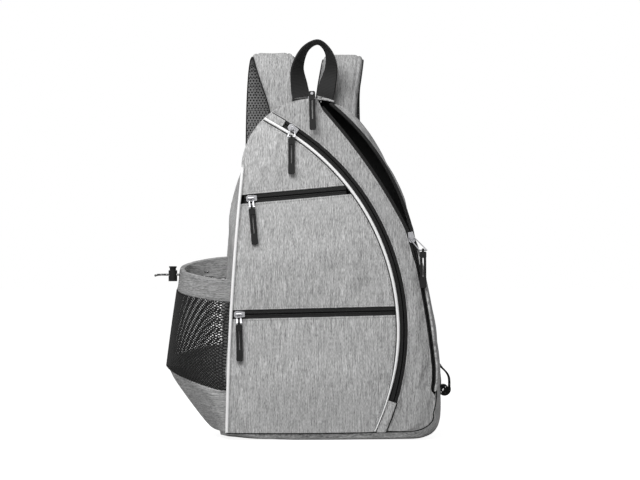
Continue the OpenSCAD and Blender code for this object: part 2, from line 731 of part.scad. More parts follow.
// The shoulder slider lies on the top wall; its link reaches forward over the edge
shoulder_link_l = 27;
module on_shoulder() {
  on_front()
    translate([shoulder_u, shoulder_v, shoulder_zip_w])
      rotate([0, 0, shoulder_a])
        translate([shoulder_r + tape_mid, 0, 0])
          rotate([-90, 0, -90])
            children();
}
module shoulder_slider() {
  color(metal) on_shoulder() bail_slider();
}
module shoulder_link() {
  color(metal)
    on_shoulder()
      translate([0, 0, bail_z]) {
        bail_link(shoulder_link_l);
        translate([0, -shoulder_link_l + 0.5, 0]) rotate([90, 0, 0]) cylinder(r = bar_r, h = 6.2);
        translate([0, -shoulder_link_l - 5.2, 0]) rotate([90, 0, 0]) cylinder(r = 2, h = 0.9);
      }
}
module shoulder_tab() {
  color(trim_black)
    on_shoulder()
      translate([0, -shoulder_link_l - 1.4 - tab_t / 2, bail_z])
        rotate([90, 0, 0])
          tab_on_pin();
}

// Bottle pocket on the left wall: net between a hem and a cloth base
hem_t = 2.6;
eyelet_r = 5;
pocket_low = 9.4;
function wall_depth(y, v) = let(y0 = front_pt([0, v], -fabric_t)[1]) (y - y0) / (back_y - y0);
function wall_x(y, v) = let(s = wall_depth(y, v))
  left_u(v) - flare_left * s - wall_swell * 4 * s * (1 - s);
function swell_at(z) = z < 98 ? pocket_swell * pow((z - 9) / 89, 0.85)
  : pocket_swell - 12 * (z - 98) / 134;
function pocket_pt(t, z, in) = let(
    y0 = back_y - 4 - in, y1 = front_pt([0, z], -fabric_t)[1] + 4 + in,
    y = lerp(y0, y1, (1 - cos(180 * t)) / 2))
  [wall_x(y, z) - 0.4 - max(0, swell_at(z) - in) * pow(max(0, sin(180 * t)), 0.7), y, z];
function hem_top(t) = lerp(248, 217, t);
function hem_low(t) = hem_top(t) - hem_h;
function net_low(t) = lerp(126, 66, t);
module pocket_wall(rows, thick, low, high) {
  columns = 20;
  function at(i, j, in) = let(t = j / columns)
    pocket_pt(t, lerp(low(t), high(t), i / rows), in);
  slab([for (i = [0:rows]) [for (j = [0:columns]) at(i, j, 0)]],
    [for (i = [0:rows]) [for (j = [0:columns]) at(i, j, thick)]]);
}
module pocket_hem() {
  color(cloth_grey)
    difference() {
      pocket_wall(3, hem_t, function(t) hem_low(t), function(t) hem_top(t));
      translate([hem_x - 6, hem_y, cord_z]) rotate([0, 90, 0]) cylinder(r = eyelet_r, h = 12);
    }
}
module pocket_net() {
  color(net_black)
    pocket_wall(6, net_t, function(t) net_low(t), function(t) hem_low(t));
}
module pocket_base() {
  color(cloth_grey)
    pocket_wall(6, net_t, function(t) pocket_low, function(t) net_low(t));
}

// Draw cord through the hem's eyelet, with a spring cord lock on its two ends
cord_z = 223;
hem_x = pocket_pt(0.5, cord_z, 0)[0];
hem_y = pocket_pt(0.5, cord_z, 0)[1];
strand = cord_r + 0.25;
tail_l = 34;
lock_x = hem_x - 9;
module draw_cord() {
  function inside(t) = pocket_pt(t, cord_z + (t < 0.5 ? 8 * (0.5 - t) : -8 * (t - 0.5)),
    hem_t + cord_r + 0.5);
  function route(side) = concat(
    [[hem_x - tail_l, hem_y + side * strand, cord_z], [hem_x - 20, hem_y + side * strand, cord_z],
     [hem_x - 8, hem_y + side * strand, cord_z], [hem_x + 1, hem_y + side * strand, cord_z],
     [hem_x + hem_t + 3.2, hem_y + side * (strand + 1), cord_z]],
    [for (i = [1:6]) inside(0.5 - side * 0.07 * i)]);
  color(trim_black)
    for (side = [-1, 1])
      cord(smooth(route(side), 4), cord_r, [0, 0, 1]);
}
lock_r = 6;
button_r = 4.4;
module cord_slot(r, up) {
  for (y = [-strand, strand]) for (z = [0, up])
    translate([-10, y, z]) rotate([0, 90, 0]) cylinder(r = r, h = 20);
  translate([-10, -strand, -r]) cube([20, 2 * strand, 2 * r + up]);
  translate([-10, -strand - r, 0]) cube([20, 2 * (strand + r), up + 0.01]);
}
module cord_lock_body() {
  color(trim_black)
    translate([lock_x, hem_y, cord_z])
      difference() {
        translate([0, 0, -9]) cylinder(r = lock_r, h = 15);
        translate([0, 0, -7.4]) cylinder(r = button_r + play, h = 20);
        cord_slot(cord_r + play, 0);
      }
}
module cord_lock_button() {
  color(trim_black)
    translate([lock_x, hem_y, cord_z])
      difference() {
        union() {
          translate([0, 0, -3]) cylinder(r = button_r, h = 13.5);
          translate([0, 0, 9.6]) cylinder(r = button_r + 0.9, h = 2);
        }
        translate([0, 0, 0]) cord_slot(cord_r + play, 3);
      }
}
module cord_lock_spring() {
  turns = 3.5;
  color(metal)
    translate([lock_x, hem_y, cord_z - 6.8])
      cord([for (i = [0:42]) let(a = 360 * turns * i / 42) [3.1 * cos(a), 3.1 * sin(a), 3.2 * i / 42]],
        0.3, [0, 0, 1]);
}

// A flat band along a path: w is the width direction wanted at each point
function band_ring(p, i, wide, sect) = let(t = path_dir(p, i), w = unit(wide - (wide * t) * t),
    n = cross(w, t))
  [for (s = sect) p[i] + s[0] * w + s[1] * n];
function flat_section(w, t) = [[w / 2, -t / 2], [w / 2, t / 2], [-w / 2, t / 2], [-w / 2, -t / 2]];

// Carry handle: webbing that leaves the seam flat, then twists into a loop
handle_z = (shoulder_v + shoulder_r) * cos(front_lean) + flare_top + 2.4;
handle_y = back_y - 7;
handle_leg = 17.5;
handle_pts = smooth([[-handle_leg, 0, 0], [-21.5, 0, 18], [-25, 0, 42], [-15.5, 0, 65], [3, 0, 74],
  [19, 0, 63], [25, 0, 42], [21.5, 0, 18], [handle_leg, 0, 0]], 4);
module carry_handle() {
  n = len(handle_pts) - 1;
  function twist(i) = 80 * pow(sin(180 * i / n), 1.2);
  function wide(i) = let(t = path_dir(handle_pts, i))
    cos(twist(i)) * [t[2], 0, -t[0]] + sin(twist(i)) * [0, 1, 0];
  color(trim_black)
    translate([shoulder_u - 0.5, handle_y, handle_z]) {
      rings([for (i = [0:n]) band_ring(handle_pts, i, wide(i), flat_section(handle_w, handle_t))]);
      for (x = [-handle_leg, handle_leg])
        translate([x - handle_w / 2, 0, 0])
          rotate([0, 90, 0])
            cylinder(r = handle_t / 2, h = handle_w);
    }
}

// Padded shoulder straps: cloth pad outside, net lining inside
strap_y = back_y + 4 + play + strap_pad_t + 1;
strap_base = strap_w / 2 + 2;
strap_top = [shoulder_u, strap_y, handle_z - 24.2];
strap_left_pts = smooth([for (p = [[-strap_base, 0, 0], [-38, 5, 28], [-50, 13, 62], [-59, 32, 82],
  [-65, 52, 67], [-69, 58, 22], [-71, 52, -46], [-71, 41, -126], [-70, 30, -206], [-68, 23, -260]])
  strap_top + p], 4);
strap_right_pts = smooth([for (p = [[strap_base, 0, 0], [33, 5, 28], [38, 13, 61], [41, 32, 80],
  [39, 52, 65], [37, 58, 22], [41, 52, -46], [54, 41, -126], [71, 30, -206], [82, 23, -260]])
  strap_top + p], 4);
function strap_wide(i, n) = strap_w - 14 * pow(i / n, 2) - (i > n - 3 ? 5 * (i - n + 3) : 0);
function pad_section(w) = [[w / 2, 0], [w / 2, strap_pad_t * 0.5], [w / 2 - 3.5, strap_pad_t],
  [3.5 - w / 2, strap_pad_t], [-w / 2, strap_pad_t * 0.5], [-w / 2, 0]];
function lining_section(w) = [[-w / 2, -play], [1.2 - w / 2, -strap_lining_t],
  [w / 2 - 1.2, -strap_lining_t], [w / 2, -play]];
module strap_pad(p) {
  n = len(p) - 1;
  rings([for (i = [0:n]) band_ring(p, i, [1, 0, 0], pad_section(strap_wide(i, n)))]);
}
module strap_lining(p) {
  n = len(p) - 1;
  rings([for (i = [0:n]) band_ring(p, i, [1, 0, 0], lining_section(strap_wide(i, n)))], true);
}
module strap_left_pad() {
  color(cloth_grey) strap_pad(strap_left_pts);
}
module strap_left_lining() {
  color(net_black) strap_lining(strap_left_pts);
}
module strap_right_pad() {
  color(cloth_grey) strap_pad(strap_right_pts);
}
module strap_right_lining() {
  color(net_black) strap_lining(strap_right_pts);
}

// Ladder locks at the lower strap ends, webbing down to the anchors, and free tails
lock_l = 30;
lock_w = webbing_w + 10;
lock_t = 4.4;
function end_of(p) = p[len(p) - 1];
function end_t(p) = path_dir(p, len(p) - 1);
function end_w(p) = let(t = end_t(p)) unit([1, 0, 0] - t[0] * t);
module at_end(p) {
  e = end_of(p);
  t = end_t(p);
  w = end_w(p);
  n = cross(w, t);
  multmatrix([[w[0], t[0], n[0], e[0]], [w[1], t[1], n[1], e[1]], [w[2], t[2], n[2], e[2]]])
    children();
}
module ladder_lock() {
  difference() {
    translate([-lock_w / 2, 0.3, -0.4]) cube([lock_w, lock_l, lock_t]);
    for (y = [4.3, 13.3, 22.3])
      translate([-webbing_w / 2 - 1, y, -2]) cube([webbing_w + 2, 5, lock_t + 4]);
  }
}
module ladder_lock_left() {
  color(trim_black) at_end(strap_left_pts) ladder_lock();
}
module ladder_lock_right() {
  color(trim_black) at_end(strap_right_pts) ladder_lock();
}
anchor_y = back_y + 4;
anchor_t = 2.4;
webbing_room = 0.7;
anchor_left_u = seam_left[0] - 5;
anchor_right_u = corner_a[0] - 2;
anchor_left_p = [anchor_left_u + 22, anchor_y + anchor_t + webbing_t / 2 + webbing_room, 62];
anchor_right_p = [anchor_right_u - 22, anchor_y + anchor_t + webbing_t / 2 + webbing_room, 66];
function lock_pt(p, d, h) = end_of(p) + d * end_t(p) + h * cross(end_w(p), end_t(p));
function webbing_path(p, a) = let(top = lock_pt(p, 20, -0.4 - webbing_t / 2 - 0.3),
    dir = unit([a[0] - top[0], 0, a[2] - top[2]]), low = a + [0, 1.6, 0] - 4 * dir)
  [top, lerp(top, low, 0.25) + [0, -1, 0], lerp(top, low, 0.6), low, a + dir * 4, a + dir * 14];
module webbing(path) {
  p = smooth(path, 5);
  n = len(p) - 1;
  end = unit(path[5] - path[4]);
  function wide(i) = lerp([1, 0, 0], [-end[2], 0, end[0]], i / n);
  rings([for (i = [0:n]) band_ring(p, i, wide(i), flat_section(webbing_w, webbing_t))]);
}
module webbing_left() {
  color(trim_black) webbing(webbing_path(strap_left_pts, anchor_left_p));
}
module webbing_right() {
  color(trim_black) webbing(webbing_path(strap_right_pts, anchor_right_p));
}
module anchor_left() {
  color(trim_black)
    translate([anchor_left_u, anchor_y, 0]) rotate([90, 0, 0]) mirror([0, 0, 1]) linear_extrude(anchor_t)
      polygon([[0, 34], [0, 78], [34, 70], [34, 48]]);
}
module anchor_right() {
  color(trim_black)
    translate([anchor_right_u, anchor_y, 0]) rotate([90, 0, 0]) mirror([0, 0, 1]) linear_extrude(anchor_t)
      polygon([[0, 38], [-36, 50], [-36, 74], [0, 82]]);
}

// Free tails: the left hangs straight, the right one ends in a roll at the bag's corner
function tail_start(p) = lock_pt(p, 18, lock_t - 0.4 + webbing_t / 2 + 0.3);
module tail_left() {
  s = tail_start(strap_left_pts);
  p = smooth([s, s + [-1, 3, -20], s + [-3, 3, -60], s + [-4, -2, -96]], 6);
  color(trim_black)
    rings([for (i = [0:len(p) - 1]) band_ring(p, i, [1, 0, 0], flat_section(webbing_w, webbing_t))]);
}
roll_gap = 0.8;
roll_c = [158, 67];
roll_y = 60;
roll_r = 8.6;
roll_turns = 1.6;
function roll_pt(a) = let(r = roll_r - (webbing_t + roll_gap) * a / 360)
  [roll_c[0] + r * cos(24 - a), roll_y, roll_c[1] + r * sin(24 - a)];
roll_pts = [for (i = [0:40]) roll_pt(360 * roll_turns * i / 40)];
tail_lead = let(s = tail_start(strap_right_pts))
  smooth([s, s + [12, 2, -24], s + [46, -6, -56], [141, 66, 107], [155, roll_y, 98],
    [164.5, roll_y, 87], roll_pts[0]], 5);
tail_pts = concat([for (i = [0:len(tail_lead) - 2]) tail_lead[i]], roll_pts);
echo(roll_least_gap = min([for (i = [0:40]) for (j = [0:40]) if (j - i > 12)
  norm(roll_pts[i] - roll_pts[j])]) - webbing_t);
module tail_right() {
  lead = len(tail_lead);
  function wide(i) = let(t = min(1, max(0, (i - 3) / (lead - 14)))) [1 - t, t, 0];
  color(trim_black)
    rings([for (i = [0:len(tail_pts) - 1])
      band_ring(tail_pts, i, wide(i), flat_section(webbing_w, webbing_t))]);
}

back_board();
back_pads();
left_gusset();
shoulder_gusset();
top_gusset();
right_gusset();
base_gusset();
base_board();
divider();
divider_gusset();
pocket_liner();
organiser_top();
organiser_middle();
organiser_bottom();
strip_panel();
zip_garage();
zip_end_tab();
left_piping();
curved_piping();
upper_zip();
lower_zip();
front_zip();
racket_zip();
shoulder_zip();
upper_slider();
upper_link();
upper_tab();
lower_slider();
lower_link();
lower_tab();
front_slider();
front_link();
front_tab();
racket_slider();
racket_link();
racket_tab();
shoulder_slider();
shoulder_link();
shoulder_tab();
pocket_hem();
pocket_net();
pocket_base();
draw_cord();
cord_lock_body();
cord_lock_button();
cord_lock_spring();
carry_handle();
strap_left_pad();
strap_left_lining();
strap_right_pad();
strap_right_lining();
ladder_lock_left();
ladder_lock_right();
webbing_left();
webbing_right();
tail_left();
tail_right();
anchor_left();
anchor_right();
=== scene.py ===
import math

import bmesh
import bpy
import numpy as np
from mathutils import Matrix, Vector
from mathutils.bvhtree import BVHTree


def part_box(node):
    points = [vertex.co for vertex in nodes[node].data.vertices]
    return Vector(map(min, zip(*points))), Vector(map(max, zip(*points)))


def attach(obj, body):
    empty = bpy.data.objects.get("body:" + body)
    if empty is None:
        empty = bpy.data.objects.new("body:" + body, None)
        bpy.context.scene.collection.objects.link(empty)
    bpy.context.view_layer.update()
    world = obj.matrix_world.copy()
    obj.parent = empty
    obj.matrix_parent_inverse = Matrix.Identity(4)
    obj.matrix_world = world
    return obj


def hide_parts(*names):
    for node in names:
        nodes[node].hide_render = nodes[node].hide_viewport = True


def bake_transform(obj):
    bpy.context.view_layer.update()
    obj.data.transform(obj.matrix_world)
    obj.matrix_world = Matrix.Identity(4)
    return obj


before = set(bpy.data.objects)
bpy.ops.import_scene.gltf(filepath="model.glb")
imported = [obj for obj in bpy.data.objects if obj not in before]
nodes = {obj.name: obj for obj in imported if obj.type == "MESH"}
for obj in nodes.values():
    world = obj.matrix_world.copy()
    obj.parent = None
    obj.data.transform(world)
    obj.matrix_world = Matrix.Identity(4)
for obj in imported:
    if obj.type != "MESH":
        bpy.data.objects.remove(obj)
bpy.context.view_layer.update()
scene = bpy.context.scene
scene.view_settings.view_transform = "Standard"


# View, floor and light. The photograph looks straight at the front through a long lens.
# The floor is a pale board, white to the camera where no shadow lies on it, and the light is
# one large soft lamp high on the left with the white room as fill.
def add(tree, kind, inputs=None, **settings):
    made = tree.nodes.new(kind)
    for name, value in settings.items():
        setattr(made, name, value)
    for name, value in (inputs or {}).items():
        if isinstance(value, bpy.types.NodeSocket):
            tree.links.new(value, made.inputs[name])
        else:
            made.inputs[name].default_value = value
    return made


def linear(code):
    parts = [int(code[i:i + 2], 16) / 255 for i in (1, 3, 5)]
    return [p / 12.92 if p <= 0.04045 else ((p + 0.055) / 1.055) ** 2.4 for p in parts] + [1.0]


def new_finish(name):
    made = bpy.data.materials.new(name)
    made.use_nodes = True
    made.node_tree.nodes.clear()
    return made, made.node_tree


def placed(name, data):
    made = bpy.data.objects.new(name, data)
    scene.collection.objects.link(made)
    return made


sensor_width = 36
view_distance = 3.0
view_width = 0.8704
camera_data = bpy.data.cameras.new("front_view")
camera_data.sensor_width = sensor_width
camera_data.lens = sensor_width * view_distance / view_width
camera = placed("front_view", camera_data)
camera.location = (-0.0177, -3.044, 0.2708)
camera.rotation_euler = (math.radians(90), 0, 0)
scene.camera = camera

# The room is white to the eye and to what mirrors it, and dim as a light
room_glow = 0.165
white_room = bpy.data.worlds.new("white_room")
white_room.use_nodes = True
tree = white_room.node_tree
tree.nodes.clear()
ray = add(tree, "ShaderNodeLightPath").outputs
seen = add(tree, "ShaderNodeMath", {0: ray["Is Camera Ray"], 1: ray["Is Glossy Ray"]}, operation="MAXIMUM")
seen = add(tree, "ShaderNodeMath", {0: seen.outputs[0], 1: ray["Is Transmission Ray"]}, operation="MAXIMUM")
glow = add(tree, "ShaderNodeMapRange", {"Value": seen.outputs[0], "To Min": room_glow, "To Max": 1.0})
wall = add(tree, "ShaderNodeBackground", {"Color": linear("#FFFFFF"), "Strength": glow.outputs[0]})
add(tree, "ShaderNodeOutputWorld", {"Surface": wall.outputs[0]})
scene.world = white_room

# Painted board: matt pale grey, lifted to white where the camera looks at it
board_lift = 0.9
floor_half = 9
floor_z = -0.0004
board, tree = new_finish("painted board")
ray = add(tree, "ShaderNodeLightPath").outputs
seen = add(tree, "ShaderNodeMath", {0: ray["Is Camera Ray"], 1: board_lift}, operation="MULTIPLY")
paint = add(tree, "ShaderNodeBsdfDiffuse", {"Color": linear("#DCDCDC")})
lift = add(tree, "ShaderNodeEmission", {"Color": linear("#FFFFFF"), "Strength": seen.outputs[0]})
both = add(tree, "ShaderNodeAddShader", {0: paint.outputs[0], 1: lift.outputs[0]})
add(tree, "ShaderNodeOutputMaterial", {"Surface": both.outputs[0]})
floor_mesh = bpy.data.meshes.new("floor")
floor_corners = [(x * floor_half, y * floor_half, floor_z) for x, y in ((-1, -1), (1, -1), (1, 1), (-1, 1))]
floor_mesh.from_pydata(floor_corners, [], [(0, 1, 2, 3)])
floor_mesh.materials.append(board)
floor = placed("floor", floor_mesh)

for name, stand, aim, size, power in [
        ("key_lamp", (-0.36, -0.62, 1.1), (0.0, 0.0, 0.5), 0.8, 12.6),
        ("fill_lamp", (1.4, -1.5, 0.8), (0.0, 0.0, 0.25), 1.0, 1.2)]:
    lamp = bpy.data.lights.new(name, "AREA")
    lamp.size = size
    lamp.energy = power
    lit = placed(name, lamp)
    lit.location = stand
    lit.rotation_euler = (Vector(aim) - Vector(stand)).to_track_quat("-Z", "Y").to_euler()


# Draw cord of the side pocket: two bare ends of 3 mm braided polyester cord that come out of
# the hem's eyelet and through the cord lock. The rest of it lies inside the hem.
def piece(name, data, body, slot, *stands_for):
    made = placed(name, data)
    if body:
        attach(made, body)
    if stands_for:
        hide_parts(*stands_for)
    return made


def merged(name):
    bm = bmesh.new()
    bm.from_mesh(nodes[name].data)
    bmesh.ops.remove_doubles(bm, verts=bm.verts, dist=1e-5)
    bm.normal_update()
    return bm


def to_mesh(bm, name, finish, rounded_look=True):
    made = bpy.data.meshes.new(name)
    bm.to_mesh(made)
    bm.free()
    made.materials.append(finish)
    if rounded_look:
        made.shade_smooth()
    return made


# Braided polyester: black with pale flecks about 1 mm across
braid, tree = new_finish("flecked polyester braid")
place = add(tree, "ShaderNodeTexCoord").outputs["Object"]
fine = add(tree, "ShaderNodeMapping", {"Vector": place, "Scale": (1000 / 1.1,) * 3})
cells = add(tree, "ShaderNodeTexVoronoi", {"Vector": fine.outputs[0], "Scale": 1.0})
fleck = add(tree, "ShaderNodeValToRGB", {"Fac": cells.outputs["Color"]})
fleck.color_ramp.elements[0].position = 0.66
fleck.color_ramp.elements[0].color = linear("#141414")
fleck.color_ramp.elements[1].position = 0.74
fleck.color_ramp.elements[1].color = linear("#C9C9C9")
bump = add(tree, "ShaderNodeBump", {"Height": cells.outputs["Distance"], "Strength": 0.5, "Distance": 0.0004})
surface = add(tree, "ShaderNodeBsdfPrincipled", {
    "Base Color": fleck.outputs[0], "Roughness": 0.7, "Normal": bump.outputs[0]})
add(tree, "ShaderNodeOutputMaterial", {"Surface": surface.outputs[0]})

# The ends lie straight as far as the lock can slide, and only droop and spread beyond that
eyelet = Vector((-0.211662, -0.000619, 0.223))
cord_radius = 0.0015
cord_beside = 0.00175
cord_reach = 0.034
straight_share = 0.8
droop_share = 0.2
droop_down = 0.0016
droop_aside = 0.0008
cord_steps = 20
for side, name in [(-1, "cord_end_front"), (1, "cord_end_back")]:
    route = bpy.data.curves.new(name, "CURVE")
    route.dimensions = "3D"
    route.bevel_depth = cord_radius
    route.bevel_resolution = 3
    route.use_fill_caps = True
    line = route.splines.new("POLY")
    line.points.add(cord_steps)
    for i, point in enumerate(line.points):
        t = i / cord_steps
        droop = max(0.0, (t - straight_share) / droop_share) ** 2
        aside = side * (cord_beside + droop_aside * droop)
        point.co = (*(eyelet + Vector((-cord_reach * t, aside, -droop_down * droop))), 1)
    route.materials.append(braid)
    cord_end = piece(name, route, "bag", "black_cord", "draw_cord")
bm = merged("draw_cord")
bmesh.ops.bisect_plane(bm, geom=bm.verts[:] + bm.edges[:] + bm.faces[:], plane_co=eyelet,
                       plane_no=(1, 0, 0), clear_inner=True)
piece("cord_in_hem", to_mesh(bm, "cord_in_hem", braid), "bag", "black_cord", "draw_cord")


# Back board: a stiff sheet covered with black woven polyester, bound all round with black tape.
# The shoulder straps, the pads and the walls are sewn to it.
def woven(name, dark, light, thread, roughness):
    # Plain weave: small cells on a square lattice, one for each crossing of the threads, thread mm
    # apart. Yarn scatters most light, so little is left of a surface reflection.
    made, tree = new_finish(name)
    place = add(tree, "ShaderNodeTexCoord").outputs["Object"]
    cell = add(tree, "ShaderNodeMapping", {"Vector": place, "Scale": (1000 / thread,) * 3})
    knot = add(tree, "ShaderNodeTexVoronoi", {"Vector": cell.outputs[0], "Scale": 1.0, "Randomness": 0.2})
    tint = add(tree, "ShaderNodeValToRGB", {"Fac": knot.outputs["Distance"]})
    tint.color_ramp.elements[0].position = 0.15
    tint.color_ramp.elements[0].color = linear(light)
    tint.color_ramp.elements[1].position = 0.7
    tint.color_ramp.elements[1].color = linear(dark)
    bump = add(tree, "ShaderNodeBump", {
        "Height": knot.outputs["Distance"], "Strength": 0.35, "Distance": 0.0003}, invert=True)
    surface = add(tree, "ShaderNodeBsdfPrincipled", {
        "Base Color": tint.outputs[0], "Roughness": roughness, "Specular IOR Level": 0.15,
        "Normal": bump.outputs[0]})
    add(tree, "ShaderNodeOutputMaterial", {"Surface": surface.outputs[0]})
    return made


def rounded(name, finish, width, segments=2):
    # The solid itself with its sharp edges rounded. Its flat facets are joined first.
    flat_within, sharp_from = math.radians(1), math.radians(40)
    kept = nodes[name]
    kept.data.materials.clear()
    kept.data.materials.append(finish)
    drawn = kept.data.attributes.get("custom_normal")
    if drawn:
        kept.data.attributes.remove(drawn)
    kept.data.shade_smooth()
    weld = kept.modifiers.new("weld", "WELD")
    weld.merge_threshold = 1e-5
    flat = kept.modifiers.new("flat", "DECIMATE")
    flat.decimate_type = "DISSOLVE"
    flat.angle_limit = flat_within
    edge = kept.modifiers.new("edge", "BEVEL")
    edge.width = width
    edge.segments = segments
    edge.limit_method = "ANGLE"
    edge.angle_limit = sharp_from
    edge.harden_normals = True


def unit(v):
    return v / np.linalg.norm(v, axis=-1, keepdims=True)


def distances(points):
    # How far along their line each of these points lies
    steps = np.linalg.norm(np.diff(points, axis=0), axis=1)
    return np.concatenate([[0], np.cumsum(steps)])


def band_axes(points, across):
    # The ways across a band and out of it, at each point of its path
    run = unit(np.gradient(points, axis=0))
    wide = unit(across - (across * run).sum(1)[:, None] * run)
    return wide, np.cross(wide, run)


def sweep(name, finish, points, across, section, widths=None):
    # A closed band of the given section along a path. U of its map runs round, V along, in metres.
    points, across = np.asarray(points, float), np.asarray(across, float)
    wide, out = band_axes(points, across)
    count, sides = len(points), len(section)
    bm = bmesh.new()
    rings = []
    for i in range(count):
        ring = section if widths is None else [(a * widths[i], h) for a, h in section]
        rings.append([bm.verts.new(points[i] + a * wide[i] + h * out[i]) for a, h in ring])
    chart = bm.loops.layers.uv.new("run")
    mean_ring = np.asarray(section)
    if widths is not None:
        mean_ring = mean_ring * [np.mean(widths), 1]
    along, girth = distances(points), distances(np.vstack([mean_ring, mean_ring[:1]]))
    for i in range(count - 1):
        for j in range(sides):
            k = (j + 1) % sides
            face = bm.faces.new([rings[i][j], rings[i][k], rings[i + 1][k], rings[i + 1][j]])
            for loop, (a, b) in zip(face.loops, [(j, i), (j + 1, i), (j + 1, i + 1), (j, i + 1)]):
                loop[chart].uv = (girth[a], along[b])
    bm.faces.new(rings[0])
    bm.faces.new(rings[-1])
    bmesh.ops.recalc_face_normals(bm, faces=bm.faces)
    made = to_mesh(bm, name, finish)
    made.set_sharp_from_angle(angle=math.radians(50))
    return made


def rim(faces):
    # The points round a patch of faces, in order from its lowest edge
    edges = {e for f in faces for e in f.edges if sum(g in faces for g in e.link_faces) == 1}
    start = min(edges, key=lambda e: [tuple(v.co)[::-1] for v in e.verts])
    loop, here = [start.verts[0]], start.verts[1]
    edges.discard(start)
    while here != loop[0]:
        loop.append(here)
        step = next(e for e in here.link_edges if e in edges)
        edges.discard(step)
        here = step.other_vert(here)
    return [v.co.copy() for v in loop]


board_cloth = woven("black woven polyester", "#161616", "#3A3A3A", thread=1.1, roughness=0.75)
rounded("back_board", board_cloth, width=0.0012)
bm = merged("back_board")
outline = rim({f for f in bm.faces if f.normal.y > 0.9})
bm.free()
outline = np.array(outline + outline[:1])
board_middle = np.array([0.0, 0.0, 0.22])
inward = unit((board_middle - outline) * [1, 0, 1])
# The tape is 9 mm wide and lies round the edge, a little inside the outline and proud of the cloth
tape_half, tape_deep = 0.0045, 0.0012
tape_inset, tape_proud = 0.0058, 0.0004
binding_section = [(-tape_half, -tape_deep), (tape_half, -tape_deep), (tape_half, tape_deep),
                   (-tape_half, tape_deep)]
binding_cloth = woven("black binding tape", "#0E0E0E", "#2A2A2A", thread=0.9, roughness=0.7)
binding_line = outline + inward * tape_inset + [0, tape_proud, 0]
binding = sweep("back_binding", binding_cloth, binding_line, inward, binding_section)
piece("back_binding", binding, "bag", "black_webbing")


# Back pads: three foam pads under black air mesh, sewn down round their edges so that
# channels for air stay open between them.
def outer_sheet(name, outward):
    # The outer side of a sewn panel's solid as a sheet of quads: its patches that face outward
    bend_within = math.radians(50)
    bm = merged(name)
    left, kept = set(bm.faces), set()
    while left:
        seed = left.pop()
        patch, edge_of_patch = [seed], [seed]
        while edge_of_patch:
            for e in edge_of_patch.pop().edges:
                if len(e.link_faces) == 2 and e.calc_face_angle(4) < bend_within:
                    for f in e.link_faces:
                        if f in left:
                            left.discard(f)
                            patch.append(f)
                            edge_of_patch.append(f)
        area = sum(f.calc_area() for f in patch)
        facing = 0.0
        for f in patch:
            facing += f.calc_area() * f.normal.dot(outward(f.calc_center_median()).normalized())
        if facing > 0.5 * area:
            kept.update(patch)
    bmesh.ops.delete(bm, geom=[f for f in bm.faces if f not in kept], context="FACES")
    bmesh.ops.join_triangles(bm, faces=bm.faces, angle_face_threshold=3.2, angle_shape_threshold=3.2,
                             topology_influence=1.9)
    return bm


def evaluated(held, **kept):
    # An object with its modifiers applied, as a plain mesh
    graph = bpy.context.evaluated_depsgraph_get()
    return bpy.data.meshes.new_from_object(held.evaluated_get(graph), depsgraph=graph, **kept)


def bake(mesh, *steps):
    # The mesh with these modifiers applied: each is its kind and its settings
    held = placed("held", mesh)
    for kind, settings in steps:
        step = held.modifiers.new(kind, kind)
        for name, value in settings.items():
            setattr(step, name, value)
    made = evaluated(held, preserve_all_data_layers=True)
    bpy.data.objects.remove(held)
    return made


def finer(mesh, levels):
    return bake(mesh, ("SUBSURF", {
        "levels": levels, "render_levels": levels, "boundary_smooth": "PRESERVE_CORNERS"}))


def corners(mesh):
    flat = np.empty(len(mesh.vertices) * 3)
    mesh.vertices.foreach_get("co", flat)
    return flat.reshape(-1, 3)


def settle(mesh, slack, pressure, cap):
    # Lets the cloth puff and wrinkle between its sewn edges. A point moves no further than cap.
    ticks = 18
    bm = bmesh.new()
    bm.from_mesh(mesh)
    sewn = [v.index for v in bm.verts if v.is_boundary]
    bm.free()
    cloth = placed("cloth", mesh)
    cloth.vertex_groups.new(name="sewn").add(sewn, 1.0, "REPLACE")
    step = cloth.modifiers.new("cloth", "CLOTH")
    rule = step.settings
    rule.vertex_group_mass = "sewn"
    rule.use_pressure = True
    rule.uniform_pressure_force = pressure
    rule.effector_weights.gravity = 0
    rule.tension_stiffness = 15
    rule.compression_stiffness = 15
    rule.shear_stiffness = 5
    rule.bending_stiffness = 0.8
    rule.shrink_min = -slack
    step.collision_settings.use_collision = False
    step.point_cache.frame_end = ticks
    for tick in range(1, ticks + 1):
        scene.frame_set(tick)
    before = corners(mesh)
    step_by = corners(evaluated(cloth)) - before
    far = np.linalg.norm(step_by, axis=1, keepdims=True) + 1e-9
    most = np.array([[cap(Vector(p))] for p in before])
    after = before + step_by / far * most * np.tanh(far / most)
    scene.frame_set(1)
    bpy.data.objects.remove(cloth)
    mesh.vertices.foreach_set("co", after.ravel())
    mesh.update()
    return mesh


def thick(mesh, depth, finish, lip=0.0004):
    made = bake(mesh, ("SOLIDIFY", {"thickness": depth, "offset": -1.0}),
                ("BEVEL", {"width": lip, "segments": 2, "limit_method": "ANGLE",
                           "angle_limit": math.radians(60)}))
    made.materials.clear()
    made.materials.append(finish)
    made.shade_smooth()
    return made


